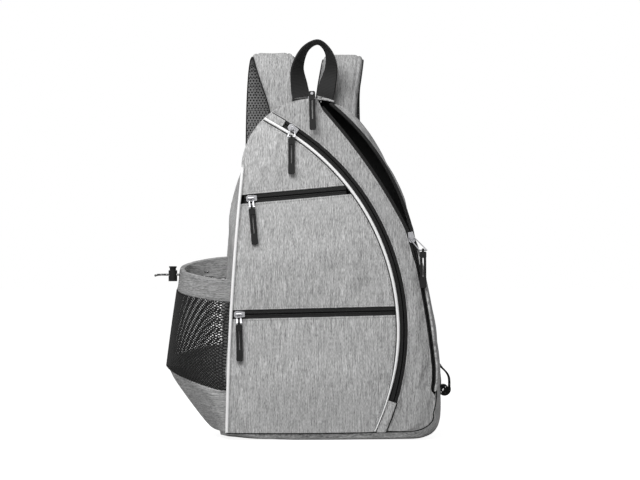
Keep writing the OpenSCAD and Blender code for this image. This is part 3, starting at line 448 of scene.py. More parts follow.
# Air mesh: a knitted spacer cloth with open holes about 3 mm apart, dull black with a pale edge
air_mesh, tree = new_finish("black air mesh")
place = add(tree, "ShaderNodeTexCoord").outputs["Object"]
cell = add(tree, "ShaderNodeMapping", {
    "Vector": place, "Scale": (1000 / 3.1,) * 3, "Rotation": (0.6, 0.0, 0.78)})
hole = add(tree, "ShaderNodeTexVoronoi", {"Vector": cell.outputs[0], "Scale": 1.0, "Randomness": 0.12})
tint = add(tree, "ShaderNodeValToRGB", {"Fac": hole.outputs["Distance"]})
tint.color_ramp.elements[0].position = 0.34
tint.color_ramp.elements[0].color = linear("#0B0B0B")
tint.color_ramp.elements[1].position = 0.52
tint.color_ramp.elements[1].color = linear("#7A7A7A")
bump = add(tree, "ShaderNodeBump", {"Height": tint.outputs[0], "Strength": 0.6, "Distance": 0.0008})
surface = add(tree, "ShaderNodeBsdfPrincipled", {
    "Base Color": tint.outputs[0], "Roughness": 0.85, "Specular IOR Level": 0.1, "Normal": bump.outputs[0]})
add(tree, "ShaderNodeOutputMaterial", {"Surface": surface.outputs[0]})

mesh_thick = 0.0009
bm = outer_sheet("back_pads", lambda p: Vector((0, 1, 0)))
pads = settle(finer(to_mesh(bm, "pads", air_mesh), 1), slack=0.004, pressure=0.3, cap=lambda p: 0.0025)
pads = thick(finer(pads, 1), mesh_thick, air_mesh)
piece("back_padding", pads, "bag", "black_net", "back_pads")


# Side walls and base: strips of the same heather polyester as the front, sewn to the back
# board's binding behind and to the front panels before. They swell a little between the seams.
def heather(name, grain, dark="#808080", light="#DEDEDE"):
    # Heather polyester: yarns of uneven dye give fine streaks along the cloth's run, long ones and
    # short ones mixed, over a plain weave drawn at 1 mm, coarser than the real one.
    # grain is the long streak's size in mm along x, y and z. The short ones are a quarter as long.
    made, tree = new_finish(name)
    place = add(tree, "ShaderNodeTexCoord").outputs["Object"]
    runs = []
    for part in (1, 4):
        scale = [1000 / g * (part if g > 1 else 1) for g in grain]
        run = add(tree, "ShaderNodeMapping", {"Vector": place, "Scale": scale})
        runs.append(add(tree, "ShaderNodeTexNoise", {
            "Vector": run.outputs[0], "Scale": 1.0, "Detail": 2.0, "Roughness": 0.5}))
    streak, fleck = runs
    mix = add(tree, "ShaderNodeMix", {
        "Factor": 0.5, "A": streak.outputs["Fac"], "B": fleck.outputs["Fac"]})
    tint = add(tree, "ShaderNodeValToRGB", {"Fac": mix.outputs[0]})
    tint.color_ramp.elements[0].position = 0.37
    tint.color_ramp.elements[0].color = linear(dark)
    tint.color_ramp.elements[1].position = 0.64
    tint.color_ramp.elements[1].color = linear(light)
    cell = add(tree, "ShaderNodeMapping", {"Vector": place, "Scale": (1000 / 1.0,) * 3})
    knot = add(tree, "ShaderNodeTexVoronoi", {"Vector": cell.outputs[0], "Scale": 1.0, "Randomness": 0.25})
    both = add(tree, "ShaderNodeMath", {0: streak.outputs["Fac"], 1: 0.7, 2: knot.outputs["Distance"]},
               operation="MULTIPLY_ADD")
    bump = add(tree, "ShaderNodeBump", {
        "Height": both.outputs[0], "Strength": 0.3, "Distance": 0.0003}, invert=True)
    surface = add(tree, "ShaderNodeBsdfPrincipled", {
        "Base Color": tint.outputs[0], "Roughness": 0.86, "Specular IOR Level": 0.2,
        "Normal": bump.outputs[0]})
    add(tree, "ShaderNodeOutputMaterial", {"Surface": surface.outputs[0]})
    return made


# Lean of the front face, and how far its foot stands ahead of the origin and the back board
# behind it, in millimetres as on all patterns from here on
LEAN = math.radians(5.5)
FRONT_Y = 70
BACK_Y = 45
FACE = Vector((0, -math.cos(LEAN), math.sin(LEAN)))


def front(u, v, w=0.0):
    # A place on the front face: u across, v up the face, w out of it
    y = -FRONT_Y + v * math.sin(LEAN) - w * math.cos(LEAN)
    z = v * math.cos(LEAN) + w * math.sin(LEAN)
    return Vector((u, y, z)) / 1000


def fade(x, start, end):
    # From 0 where x is at start to 1 where it is at end, with a soft start and end
    t = min(1.0, max(0.0, (x - start) / (end - start)))
    return t * t * (3 - 2 * t)


def drawn_in(v):
    # How far the right-hand seam is drawn in above the lower corner
    most_in = 4.5
    return most_in * fade(v, 92, 66) * fade(v, 27, 39)


def stuffed(p):
    # How the stuffed bag lies off its pattern: drawn in low on the right, swollen beside the open
    # zip, and dropping straight down from the bottom seam before it turns under.
    # s runs from the front seam to the back board.
    seam_y = 67.4
    right_limit, right_seam = 144, 120
    most_swell, swell_share = 6.5, 0.7
    under_y, under_depth, under_height = 67, 19, 30
    x, y, z = (1000 * c for c in p)
    lean = z * math.tan(LEAN)
    s = min(1.0, max(0.0, (y + seam_y - lean) / (seam_y + BACK_Y - lean)))
    if x > right_limit:
        x = right_limit + (x - right_limit) * (0.35 + 0.65 * fade(z, 90, 200))
    if x > right_seam:
        x -= drawn_in(z) * fade(s, 0.5, 0)
    swell = most_swell * fade(x, 1, 15) * fade(z, 375, 435) * math.sin(math.pi * s) ** 0.7
    back = (y + under_y) / under_depth
    if z < under_height and 0.2 < back and y < BACK_Y - 1:
        y -= under_depth * back * math.exp(1 - back) * fade(x, 140, 118) * fade(x, -140, -114)
    return Vector((x + swell_share * swell, y, z + swell_share * swell)) / 1000


def area_of(bm):
    return sum(f.calc_area() for f in bm.faces)


# The yarn runs along the strips, round the bag
side_cloth = heather("heather polyester side", (16, 0.6, 16))
wall_thick = 0.0016
# A wall that stands on the floor keeps its flat there
floor_play = 0.0003
# The walls bow, so they are a tenth longer than their box is deep
for name, node, outward, most in [
        ("left_wall", "left_gusset", lambda p: Vector((-1, 0, 0)), 0.006),
        ("shoulder_wall", "shoulder_gusset", lambda p: Vector((p.x + 0.026, 0, p.z - 0.366)), 0.003),
        ("top_wall", "top_gusset", lambda p: Vector((0.2, 0, 1)), 0.002),
        ("right_wall", "right_gusset", lambda p: Vector((p.x + 0.2, 0, p.z - 0.2)), 0.002),
        ("base_wall", "base_gusset", lambda p: Vector((p.x * 0.5, 0, p.z - 0.2)), 0.002)]:
    bm = outer_sheet(node, outward)
    flat_area = area_of(bm)
    if name in ("right_wall", "base_wall"):
        for vert in bm.verts:
            vert.co = stuffed(vert.co)
    cloth = finer(to_mesh(bm, name, side_cloth), 2)
    cloth = settle(cloth, slack=0.008, pressure=0.05, cap=lambda p: floor_play if p.z < 0.004 else most)
    made = piece(name, thick(finer(cloth, 1), wall_thick, side_cloth), "bag", "grey_cloth", node)
    low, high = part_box(node)


# Inside: a plastic stiffener in the base, and the lining cloth walls between the compartments.
# They are sewn into the seams and only show through the open zip.
# Lining: a thin, close weave, a little smoother than the cloth outside
lining_cloth = woven("black lining cloth", "#121212", "#2B2B2B", thread=0.8, roughness=0.6)
# Pressed polyethylene: dark and a little shiny, with the press plate's grain 2.2 mm apart
plastic_board = woven("pressed polyethylene board", "#1A1A1A", "#262626", thread=2.2, roughness=0.45)
lining_thick = 0.001
rounded("base_board", plastic_board, width=0.0008)
for node, outward in [
        ("divider", lambda p: Vector((0, -1, 0))), ("pocket_liner", lambda p: Vector((0, -1, 0))),
        ("divider_gusset", lambda p: Vector((p.x + 0.232, 0, p.z - 0.148)))]:
    bm = outer_sheet(node, outward)
    flat_area = area_of(bm)
    cloth = settle(finer(to_mesh(bm, node, lining_cloth), 1), slack=0.006, pressure=0.0, cap=lambda p: 0.0012)
    made = piece(node + "_cloth", thick(cloth, lining_thick, lining_cloth), "bag", "dark_cloth", node)


# Front panels: light-grey heather polyester on thin foam, three pocket panels between the zips
# and a curved strip at the right, with a folded, topstitched edge along each zip.
def on_front(p):
    x, y, z = (1000 * c for c in p)
    return x, (y + FRONT_Y) * math.sin(LEAN) + z * math.cos(LEAN)


def spot(centre, r, degrees):
    a = math.radians(degrees)
    return np.array((centre[0] + r * math.cos(a), centre[1] + r * math.sin(a)))


def arc(centre, r, start, end, n):
    return [spot(centre, r, a) for a in np.linspace(start, end, n)]


def bearing(p):
    return math.degrees(math.atan2(p[1], p[0]))


def micron(p):
    # A worked-out place to the micrometre, so that folds and bevels fall alike on any machine
    return np.round(p, 3)


def bezier(q, t):
    return (1 - t) ** 2 * q[0] + 2 * t * (1 - t) * q[1] + t * t * q[2]


def leftward(line):
    # The way to the left of a line, at each of its points
    run = unit(np.gradient(np.asarray(line, float), axis=0))
    return np.stack([-run[:, 1], run[:, 0]], 1)


def beside(line, far):
    # The same line moved to its left
    return np.asarray(line, float) + np.reshape(far, (-1, 1)) * leftward(line)


def evenly(line, n):
    # The same line with its n points at even distances
    line = np.asarray(line, float)
    far = distances(line)
    at = np.linspace(0, far[-1], n)
    return np.stack([np.interp(at, far, line[:, k]) for k in range(line.shape[1])], 1)


def grid_of(rows, outward):
    # A sheet through rows of points, its face turned outward
    bm = bmesh.new()
    rows = [[bm.verts.new(p) for p in row] for row in rows]
    for a, b in zip(rows, rows[1:]):
        for i in range(len(a) - 1):
            bm.faces.new((a[i], a[i + 1], b[i + 1], b[i]))
    bm.normal_update()
    if sum(f.normal.dot(outward) for f in bm.faces) < 0:
        bmesh.ops.reverse_faces(bm, faces=bm.faces)
    return bm


def pulled(line):
    return np.array([(u - drawn_in(v), v) for u, v in line])


# The rounded shoulder, the two pocket zips by their middle and slope, and the curved zip, which is
# one arc between its two ends
SHOULDER = np.array((-26.0, 368.0))
SHOULDER_R = 99
UPPER = (-52.0, 334.0, math.radians(5.2))
LOWER = (-24.0, 173.0, math.radians(1.4))
CURVE_R = 328
curve_high = spot(SHOULDER, SHOULDER_R - 24, 122)
curve_low = np.array((82.0, 53.0))
chord = curve_high - curve_low
off_chord = unit(np.array((-chord[1], chord[0]))) * math.sqrt(CURVE_R ** 2 - chord @ chord / 4)
CURVE = micron((curve_high + curve_low) / 2 + off_chord)
CURVE_TOP = micron(bearing(curve_high - CURVE))
CURVE_FOOT = micron(bearing(curve_low - CURVE))


def past(line, u, v):
    # How far above a pocket zip's line this place lies
    return (v - line[1]) * math.cos(line[2]) - (u - line[0]) * math.sin(line[2])


def beyond_curve(u, v):
    return math.hypot(u - CURVE[0], v - CURVE[1])


def seam(r, a):
    # The curved seam: an arc up to the zip's top end, and on from there in a straight line
    top = math.radians(CURVE_TOP)
    on = math.radians(max(0.0, a - CURVE_TOP)) * r
    return spot(CURVE, r, min(a, CURVE_TOP)) + [-on * math.sin(top), on * math.cos(top)]


# The right edge: a long arc from the shoulder, then a bowed run down to the lower corner. The racket
# zip follows it, and stands open as a slit from its foot up to the shoulder.
RIGHT_R = 327
right_top = spot(SHOULDER, SHOULDER_R, 74) + [0.9, -4.7]
right_centre = right_top - spot((0, 0), RIGHT_R, 50)
RIGHT = micron(right_centre)
edge_foot, edge_top = 12, 51
right_bow = 18
corner = [np.array(q) for q in ((144.0, 70.0), (145.0, 14.0), (104.0, 13.0))]
knee = micron(spot(right_centre, RIGHT_R, edge_foot))
low_run = [(143.9, 66.5), (143.8, 70)]
for t in np.linspace(0.95, 0, 12):
    low_run.append(knee + (corner[0] - knee) * t + [right_bow * t * (1 - t), 0])
right_edge = pulled(low_run + arc(RIGHT, RIGHT_R, edge_foot, edge_top, 40)[1:])
slit_inset = 5.8
slit = micron([spot(right_centre, RIGHT_R - slit_inset, edge_foot + 2),
               spot(right_centre, RIGHT_R, 33) - [6.2, 12],
               spot(right_centre, RIGHT_R, edge_top) - [10.8, 6]])
closed = beside(low_run + arc(RIGHT, RIGHT_R, edge_foot, edge_foot + 1, 2)[1:], slit_inset)
inner_line = pulled([*closed, *[bezier(slit, t) for t in np.linspace(0, 1, 40)]])

# The strip lies between the curved zip, up whose seam its bearings run in degrees, and the slit's
# inner line. Its lip covers the zip's tape below slit_foot.
LIP = CURVE_R + 5
slit_foot, lip_full = 262, 246
off_open, less_closed = 4.7, 2.4
off_slit = [off_open - less_closed * fade(v, slit_foot, lip_full) for u, v in inner_line]
strip_edge = beside(inner_line, off_slit)
apex_at = bearing(seam(LIP + 1.3, 63.65) - SHOULDER)
strip_bearings = [*np.linspace(-23.95, -13.96, 10), *np.linspace(-13.4, 59.6, 60),
                  *np.linspace(60.4, 63.45, 6)]
strip_left = [seam(LIP, a) for a in strip_bearings]
strip_right = np.vstack([pulled([bezier(corner, t) for t in np.linspace(1, 0.08, 10)]),
                         evenly(strip_edge, 60), arc(SHOULDER, SHOULDER_R, 86, apex_at - 2, 6)])


def strip_point(a, b, s):
    # The strip turns to the right side, as the stuffed bag rounds off there. It stays flat where the
    # curved zip's pull hangs over it, and its right lip lies over the closed zip's tape.
    # 27 / 4 brings the turn's curve to about 1 at its peak.
    most_turn, most_crown, lip_rise = 4.5, 4.8, 0.9
    pull_reach, pull_top = 102, 150
    u, v = np.array(a) + (np.array(b) - np.array(a)) * s
    clear = min(0.5, max(0.0, (pull_reach - a[0]) / (b[0] - a[0]))) if v < pull_top else 0.0
    t = max(0.0, (s - clear) / (1 - clear))
    turn = most_turn * 27 / 4 * t ** 1.3 * (1 - t) ** 2 * fade(v, 330, 180) * fade(v, -5, 35)
    lip = lip_rise * s ** 8 * fade(v, slit_foot, lip_full) * fade(v, 50, 70)
    return front(u, v, most_crown * s * (1 - s) + turn + lip)


def cloth_play(p):
    # How far the panels may puff. The pulls sweep over the cloth under a zip, so it is flatter there.
    pull_foot = 54
    u, v = on_front(p)
    most = 0.0014 + 0.0032 * fade(v, 345, 285)
    for under in (-past(UPPER, u, v), -past(LOWER, u, v)):
        if under > 0:
            most = min(most, 0.0004 + 0.0042 * fade(under, pull_foot, 100))
    return most


# The yarn stands upright on the front. The strip's cloth is painted a little darker, as painted shade where
# the strip turns away from the light
front_cloth = heather("heather polyester front", (0.6, 40, 16))
# Painted shade: the strip's cloth has a darker ramp than the front's
shaded_strip_cloth = heather("heather polyester strip painted shade", (0.6, 40, 16), "#767676", "#CECECE")
# Distance of a panel's edge from its zip's line, and of the stitches from that edge
EDGE = 6.3
STITCH_IN = 2.3
fold_width, fold_slope, fold_rise, stitch_pull = 2.0, 0.8, 0.5, 0.45
edge_zone = 9
panel_thick = 0.0016
zip_edges = {
    "organiser_top": [lambda u, v: past(UPPER, u, v) - EDGE],
    "organiser_middle": [lambda u, v: -past(UPPER, u, v) - EDGE, lambda u, v: past(LOWER, u, v) - EDGE],
    "organiser_bottom": [lambda u, v: -past(LOWER, u, v) - EDGE],
    "strip_panel": [lambda u, v: beyond_curve(u, v) - LIP]}
panels = {}
for node, edges in zip_edges.items():
    is_strip = node == "strip_panel"
    panel_cloth = shaded_strip_cloth if is_strip else front_cloth
    if is_strip:
        shares = np.linspace(0, 1, 15)
        rows = [[strip_point(a, b, s) for s in shares] for a, b in zip(strip_left, strip_right)]
        bm = grid_of(rows, FACE)
    else:
        bm = outer_sheet(node, lambda p: FACE)
    flat_area = area_of(bm)
    cloth = finer(to_mesh(bm, node, panel_cloth), 1 if is_strip else 2)
    cloth = finer(settle(cloth, slack=0.006, pressure=0.05, cap=cloth_play), 1)
    for vert in cloth.vertices:
        # The folded edge stands up, and the stitches beside it pull the cloth in
        u, v = on_front(vert.co)
        rise = 0.0
        for edge in edges:
            d = edge(u, v)
            if d < edge_zone:
                rise += fold_rise * max(0.0, min(1.0, (fold_width - d) / fold_slope))
                rise -= stitch_pull * math.exp(-(d - STITCH_IN) ** 2)
        vert.co += FACE * rise / 1000
    panels[node] = piece(node + "_cloth", thick(cloth, panel_thick, panel_cloth), "bag", "grey_cloth", node)
    low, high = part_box(node)


# Zip caps: two short strips of the front cloth, folded and stitched down over the ends of the
# curved zip. The upper one reaches up to the shoulder's edge, the lower one down to the bottom seam.
def cap_end(r):
    # Where the seam of this radius meets the shoulder's edge
    inside_edge = SHOULDER_R - 0.3
    start = seam(r, CURVE_TOP)
    way = unit(seam(r, CURVE_TOP + 1) - start)
    off = start - SHOULDER
    return start + way * (-off @ way + math.sqrt((off @ way) ** 2 - off @ off + inside_edge ** 2))


cap_thick = 0.0014
cap_from, cap_to = 59.8, -17.16
upper_inner, lower_inner, cap_outer = 322.5, 320.3, 332.6
cap_crown = 3.6
bottom_v = 11.2
upper_cap, lower_cap = [], []
for s in np.linspace(0, 1, 13):
    crown = cap_crown * s * (1 - s)
    r = upper_inner + (cap_outer - upper_inner) * s
    start, end = seam(r, cap_from), cap_end(r)
    upper_cap.append([front(*(start + (end - start) * t), crown) for t in np.linspace(0, 1, 17)])
    r = lower_inner + (cap_outer - lower_inner) * s
    foot = math.degrees(math.asin((bottom_v - CURVE[1]) / r))
    lower_cap.append([front(*seam(r, a), crown) for a in np.linspace(foot, cap_to, 33)])
for node, rows in [("zip_garage", upper_cap), ("zip_end_tab", lower_cap)]:
    bm = grid_of(rows, FACE)
    flat_area = area_of(bm)
    cloth = settle(to_mesh(bm, node, front_cloth), slack=0.008, pressure=0.0, cap=lambda p: 0.0006)
    panels[node] = piece(node + "_cloth", thick(cloth, cap_thick, front_cloth), "bag", "grey_cloth", node)


# White piping: a cord covered with white satin, caught in the seams at the left edge and
# along the inner side of the curved zip.
BOTTOM_LEFT = np.array((-145.0, 10.0))
LEFT_SPREAD = 20
LEFT_BOW = 16


def left_edge(v):
    # The bag's left edge at this height: a shallow bow up to the rounded shoulder
    if v > SHOULDER[1]:
        return SHOULDER[0] - math.sqrt(max(0.0, SHOULDER_R ** 2 - (v - SHOULDER[1]) ** 2))
    t = (v - BOTTOM_LEFT[1]) / (SHOULDER[1] - BOTTOM_LEFT[1])
    return BOTTOM_LEFT[0] + LEFT_SPREAD * t - LEFT_BOW * t * (1 - t)


# Satin-covered piping: white, with a faint twist of the cover every 2 mm
satin, tree = new_finish("white satin piping")
chart = add(tree, "ShaderNodeTexCoord").outputs["UV"]
slant = add(tree, "ShaderNodeMapping", {"Vector": chart, "Scale": (1000 / 2.0,) * 3, "Rotation": (0, 0, 0.6)})
twist = add(tree, "ShaderNodeTexWave", {"Vector": slant.outputs[0], "Scale": 0.314})
bump = add(tree, "ShaderNodeBump", {"Height": twist.outputs["Fac"], "Strength": 0.2, "Distance": 0.0003})
surface = add(tree, "ShaderNodeBsdfPrincipled", {
    "Base Color": linear("#FCFCFC"), "Roughness": 0.5, "Normal": bump.outputs[0]})
add(tree, "ShaderNodeOutputMaterial", {"Surface": surface.outputs[0]})


def round_section(r):
    return [(r * math.cos(math.radians(a)), r * math.sin(math.radians(a))) for a in range(0, 360, 24)]


# The curved piping thins and moves in a little where it runs into the bottom seam
piping_radius = 0.0021
piping_low, piping_shift, thinnest = 318.6, 1.6, 0.45
left_inset, left_proud = 1.7, 2.2
left_line = [front(left_edge(v) + left_inset, v, left_proud) for v in np.linspace(11, 371, 60)]
curve_line, thins = [], []
for a in np.linspace(-25.3, 64.58, 110):
    out_of_seam = fade(a, -24, -2)
    curve_line.append(front(*seam(piping_low + piping_shift * out_of_seam, a)))
    thins.append(thinnest + (1 - thinnest) * out_of_seam)
for name, line, widths in [
        ("left_piping", left_line, [1.0] * len(left_line)), ("curved_piping", curve_line, thins)]:
    aside = np.cross(np.gradient(np.array(line), axis=0), FACE)
    cord = sweep(name, satin, line, aside, round_section(piping_radius), widths)
    piece(name + "_cord", cord, "bag", "white_piping", name)


# Zips: five nylon coil zips on woven black tape. The tapes are sewn under the panel edges, and
# the coils run along their inner edges, closed but for the upper part of the racket zip.
def laid(points, outs, name):
    # A line of points to set things along, with the way out of the surface at each
    made = bpy.data.meshes.new(name)
    made.from_pydata([tuple(p) for p in points], [(i, i + 1) for i in range(len(points) - 1)], [])
    ways = made.attributes.new("out", "FLOAT_VECTOR", "POINT")
    ways.data.foreach_set("vector", np.array(outs, float).ravel())
    return made


def new_tree(name, sockets):
    # An empty node tree with these inputs. Gives the tree, its inputs' keys and what they hold.
    made = bpy.data.node_groups.new(name, "GeometryNodeTree")
    face = made.interface
    face.new_socket("Geometry", in_out="INPUT", socket_type="NodeSocketGeometry")
    keys = {kind: face.new_socket(kind, in_out="INPUT", socket_type="NodeSocket" + form).identifier
            for kind, form in sockets}
    face.new_socket("Geometry", in_out="OUTPUT", socket_type="NodeSocketGeometry")
    return made, keys, add(made, "NodeGroupInput").outputs


def grown(mesh, made_by, keys, **values):
    # What a node tree makes of this mesh, as a plain mesh
    held = placed("held", mesh)
    step = held.modifiers.new("grown", "NODES")
    step.node_group = made_by
    for kind, value in values.items():
        step[keys[kind]] = value
    made = evaluated(held)
    bpy.data.objects.remove(held)
    return made


# Sets a small piece at an even pitch along a line, turned along it and out of the surface
row_tree, row_keys, given = new_tree(
    "row of small pieces", [("Pitch", "Float"), ("Piece", "Object"), ("Finish", "Material")])
line = add(row_tree, "GeometryNodeMeshToCurve", {"Mesh": given["Geometry"]})
spaced = add(row_tree, "GeometryNodeResampleCurve", {
    "Curve": line.outputs[0], "Length": given["Pitch"]}, mode="LENGTH")
along = add(row_tree, "GeometryNodeInputTangent")
out_of = add(row_tree, "GeometryNodeInputNamedAttribute", {"Name": "out"}, data_type="FLOAT_VECTOR")
turned = add(row_tree, "FunctionNodeAlignRotationToVector", {"Vector": along.outputs[0]}, axis="X")
upright = add(row_tree, "FunctionNodeAlignRotationToVector", {
    "Rotation": turned.outputs[0], "Vector": out_of.outputs[0]}, axis="Z", pivot_axis="X")
shape = add(row_tree, "GeometryNodeObjectInfo", {"Object": given["Piece"]})
set_out = add(row_tree, "GeometryNodeInstanceOnPoints", {
    "Points": spaced.outputs[0], "Instance": shape.outputs["Geometry"], "Rotation": upright.outputs[0]})
real = add(row_tree, "GeometryNodeRealizeInstances", {"Geometry": set_out.outputs[0]})
dressed = add(row_tree, "GeometryNodeSetMaterial", {"Geometry": real.outputs[0], "Material": given["Finish"]})
add(row_tree, "NodeGroupOutput", {0: dressed.outputs[0]})


def joined(name, meshes, finish):
    bm = bmesh.new()
    for mesh in meshes:
        bm.from_mesh(mesh)
    return to_mesh(bm, name, finish)


def bead(name, x, y, z):
    bm = bmesh.new()
    bmesh.ops.create_icosphere(bm, subdivisions=1, radius=1.0)
    bmesh.ops.scale(bm, vec=(x, y, z), verts=bm.verts)
    made = bpy.data.meshes.new(name)
    bm.to_mesh(made)
    bm.free()
    made.shade_smooth()
    return bpy.data.objects.new(name, made)


# Zip tape: dense black polyester with a rib every 1.4 mm along its run, a little shiny
zip_cloth, tree = new_finish("black zip tape")
chart = add(tree, "ShaderNodeTexCoord").outputs["UV"]
slant = add(tree, "ShaderNodeMapping", {
    "Vector": chart, "Scale": (1000 / 1.4,) * 3, "Rotation": (0, 0, 0.785)})
rib = add(tree, "ShaderNodeTexWave", {"Vector": slant.outputs[0], "Scale": 0.314})
tint = add(tree, "ShaderNodeValToRGB", {"Fac": rib.outputs["Fac"]})
tint.color_ramp.elements[0].color = linear("#0F0F0F")
tint.color_ramp.elements[1].color = linear("#202020")
bump = add(tree, "ShaderNodeBump", {"Height": rib.outputs["Fac"], "Strength": 0.3, "Distance": 0.0003})
surface = add(tree, "ShaderNodeBsdfPrincipled", {
    "Base Color": tint.outputs[0], "Roughness": 0.6, "Specular IOR Level": 0.2, "Normal": bump.outputs[0]})
add(tree, "ShaderNodeOutputMaterial", {"Surface": surface.outputs[0]})

# Nylon coil: black monofilament, smooth, with a soft shine
coil_nylon, tree = new_finish("black nylon coil")
place = add(tree, "ShaderNodeTexCoord").outputs["Object"]
fine = add(tree, "ShaderNodeMapping", {"Vector": place, "Scale": (1000 / 3.0,) * 3})
haze = add(tree, "ShaderNodeTexNoise", {"Vector": fine.outputs[0], "Scale": 1.0})
gloss = add(tree, "ShaderNodeMapRange", {"Value": haze.outputs["Fac"], "To Min": 0.28, "To Max": 0.45})
surface = add(tree, "ShaderNodeBsdfPrincipled", {
    "Base Color": linear("#1E1E1E"), "Roughness": gloss.outputs[0], "Specular IOR Level": 0.3})
add(tree, "ShaderNodeOutputMaterial", {"Surface": surface.outputs[0]})

# A tooth's half length across the coil, the teeth's pitch, the height of their middle over the tape's
# middle, and the tape's two faces, in metres
TOOTH_HALF = 0.00105
TOOTH_PITCH = 0.0015
TOOTH_OUT = 0.0005
TAPE_BACK, TAPE_FRONT = -0.0005, 0.0004
tooth = bead("tooth", 0.00058, TOOTH_HALF, 0.0006)
# Width of a tape, half the gap between two coils, and how deep the tapes lie, in millimetres
TAPE_WIDTH = 5.4
COIL_GAP = 0.6
TAPE_W = -1.4


def curve_of(points, n):
    # Catmull-Rom through the points, n steps between each two
    p = [np.asarray(q, float) for q in points]
    made = []
    for i in range(len(p) - 1):
        a, b, c, d = p[max(i - 1, 0)], p[i], p[i + 1], p[min(i + 2, len(p) - 1)]
        for t in np.arange(n) / n:
            made.append(0.5 * (2 * b + (c - a) * t + (2 * a - 5 * b + 4 * c - d) * t ** 2
                               + (3 * b - a - 3 * c + d) * t ** 3))
    return np.array(made + [p[-1]])


def zip_half(name, edge, outs, away, width, phase):
    # One tape and its coil. edge is the line where the coil ends, away points into the tape.
    edge, outs, away = np.asarray(edge), np.asarray(outs), np.asarray(away)
    half = width / 2000
    section = [(-half, TAPE_BACK), (half, TAPE_BACK), (half, TAPE_FRONT), (-half, TAPE_FRONT)]
    tape = sweep(name, zip_cloth, edge + away * half, away, section)
    line = edge + away * TOOTH_HALF + outs * TOOTH_OUT
    far = distances(line)
    start = phase * TOOTH_PITCH / 2
    at = np.concatenate([[start], far[far > start + 1e-4]])
    spots = np.stack([np.interp(at, far, line[:, k]) for k in range(3)], 1)
    ways = np.stack([np.interp(at, far, outs[:, k]) for k in range(3)], 1)
    coil = grown(laid(spots, ways, name), row_tree, row_keys,
                 Pitch=TOOTH_PITCH, Piece=tooth, Finish=coil_nylon)
    return tape, coil


def front_half(line, away, width, phase):
    # Half a zip on the front face, whose coil ends along this line and whose tape lies away from it
    ways = [front(*way) - front(0, 0) for way in away]
    return [front(*q, TAPE_W) for q in line], [FACE] * len(line), unit(np.array(ways)), width, phase


def closed_zip(points):
    # Both halves of a closed zip whose middle line runs along these points
    left = leftward(points)
    return [front_half(points + sign * COIL_GAP * left, sign * left, TAPE_WIDTH, (sign + 1) / 2)
            for sign in (1, -1)]


def straight(line, start, end):
    way = np.array((math.cos(line[2]), math.sin(line[2])))
    return np.array([line[:2] + s * way for s in np.linspace(start, end, 40)])


shoulder_zip_r = 97.6
shoulder_zip_w = -20
shoulder_halves = []
for sign in (1, -1):
    bearings = np.linspace(85, 178, 70)
    edge = [front(*spot(SHOULDER, shoulder_zip_r, a), shoulder_zip_w + sign * COIL_GAP) for a in bearings]
    outs = [front(*spot((0, 0), 1, a)) - front(0, 0) for a in bearings]
    away = np.array([FACE * sign] * len(edge))
    shoulder_halves.append((edge, unit(np.array(outs)), away, TAPE_WIDTH, (sign + 1) / 2))
# The open zip's outer tape is sewn under the right wall's fold, its inner one under the strip
outer_line = beside(right_edge, 4.6)
zips = {
    "upper_zip": closed_zip(straight(UPPER, -68.87, 69.9)),
    "lower_zip": closed_zip(straight(LOWER, -112.26, 107.18)),
    "front_zip": closed_zip(np.array(arc(CURVE, CURVE_R, CURVE_FOOT, CURVE_TOP, 120))),
    "racket_zip": [front_half(outer_line, -leftward(outer_line), 4.4, 0),
                   front_half(inner_line, leftward(inner_line), 4.6, 1)],
    "shoulder_zip": shoulder_halves}
for node, halves in zips.items():
    tapes, coils = zip(*[zip_half(node, *half) for half in halves])
    piece(node + "_tape", joined(node + "_tape", tapes, zip_cloth), "bag", "zip_tape", node)
    piece(node + "_coil", joined(node + "_coil", coils, coil_nylon), "bag", "zip_tape", node)


# Seams and topstitching: thin dark tubes along the bottom seam, beside the curved piping and beside the
# curved zip's end caps are painted shade in those gaps, the bottom one also the bound seam's edge, and rows
# of grey thread hold the folded panel edges and the caps.
def plain_finish(name, colour, metallic, low, high, grain, depth):
    # A smooth surface whose gloss is a little uneven, with a fine grain of the given size in mm.
    # What isn't metal here is dull, so its reflection is kept low.
    made, tree = new_finish(name)
    place = add(tree, "ShaderNodeTexCoord").outputs["Object"]
    fine = add(tree, "ShaderNodeMapping", {"Vector": place, "Scale": (1000 / grain,) * 3})
    haze = add(tree, "ShaderNodeTexNoise", {"Vector": fine.outputs[0], "Scale": 1.0, "Detail": 3.0})
    gloss = add(tree, "ShaderNodeMapRange", {"Value": haze.outputs["Fac"], "To Min": low, "To Max": high})
    bump = add(tree, "ShaderNodeBump", {"Height": haze.outputs["Fac"], "Strength": depth, "Distance": 0.0001})
    surface = add(tree, "ShaderNodeBsdfPrincipled", {
        "Base Color": linear(colour), "Metallic": metallic, "Roughness": gloss.outputs[0],
        "Specular IOR Level": 0.5 if metallic else 0.25, "Normal": bump.outputs[0]})
    add(tree, "ShaderNodeOutputMaterial", {"Surface": surface.outputs[0]})
    return made


# Polyester thread: mid grey, dull, about half a millimetre thick
thread = plain_finish("grey polyester thread", "#767676", metallic=0.0, low=0.6, high=0.75,
                      grain=0.5, depth=0.2)
STITCH_PITCH = 0.0036
stitch = bead("stitch", 0.00125, 0.0003, 0.00028)


def stitch_row(points, outs):
    return grown(laid(points, outs, "row"), row_tree, row_keys,
                 Pitch=STITCH_PITCH, Piece=stitch, Finish=thread)


def stitched(name, lines, cloth, way):
    # Rows of stitches where these lines, seen along way, meet the cloth pieces
    reach = 0.02
    points, faces = [], []
    for made in cloth:
        start = len(points)
        points += [v.co for v in made.data.vertices]
        faces += [[start + i for i in f.vertices] for f in made.data.polygons]
    skin = BVHTree.FromPolygons(points, faces)
    rows = []
    for line in lines:
        run = []
        for p in [*line, None]:
            hit = skin.ray_cast(Vector(p) - way * reach, way, 2 * reach) if p is not None else (None, None)
            if hit[0] is not None:
                run.append(hit)
                continue
            if len(run) > 2:
                rows.append(stitch_row([h[0] for h in run], [h[1] for h in run]))
            run = []
    return piece(name, joined(name, rows, thread), "bag", "grey_cloth")


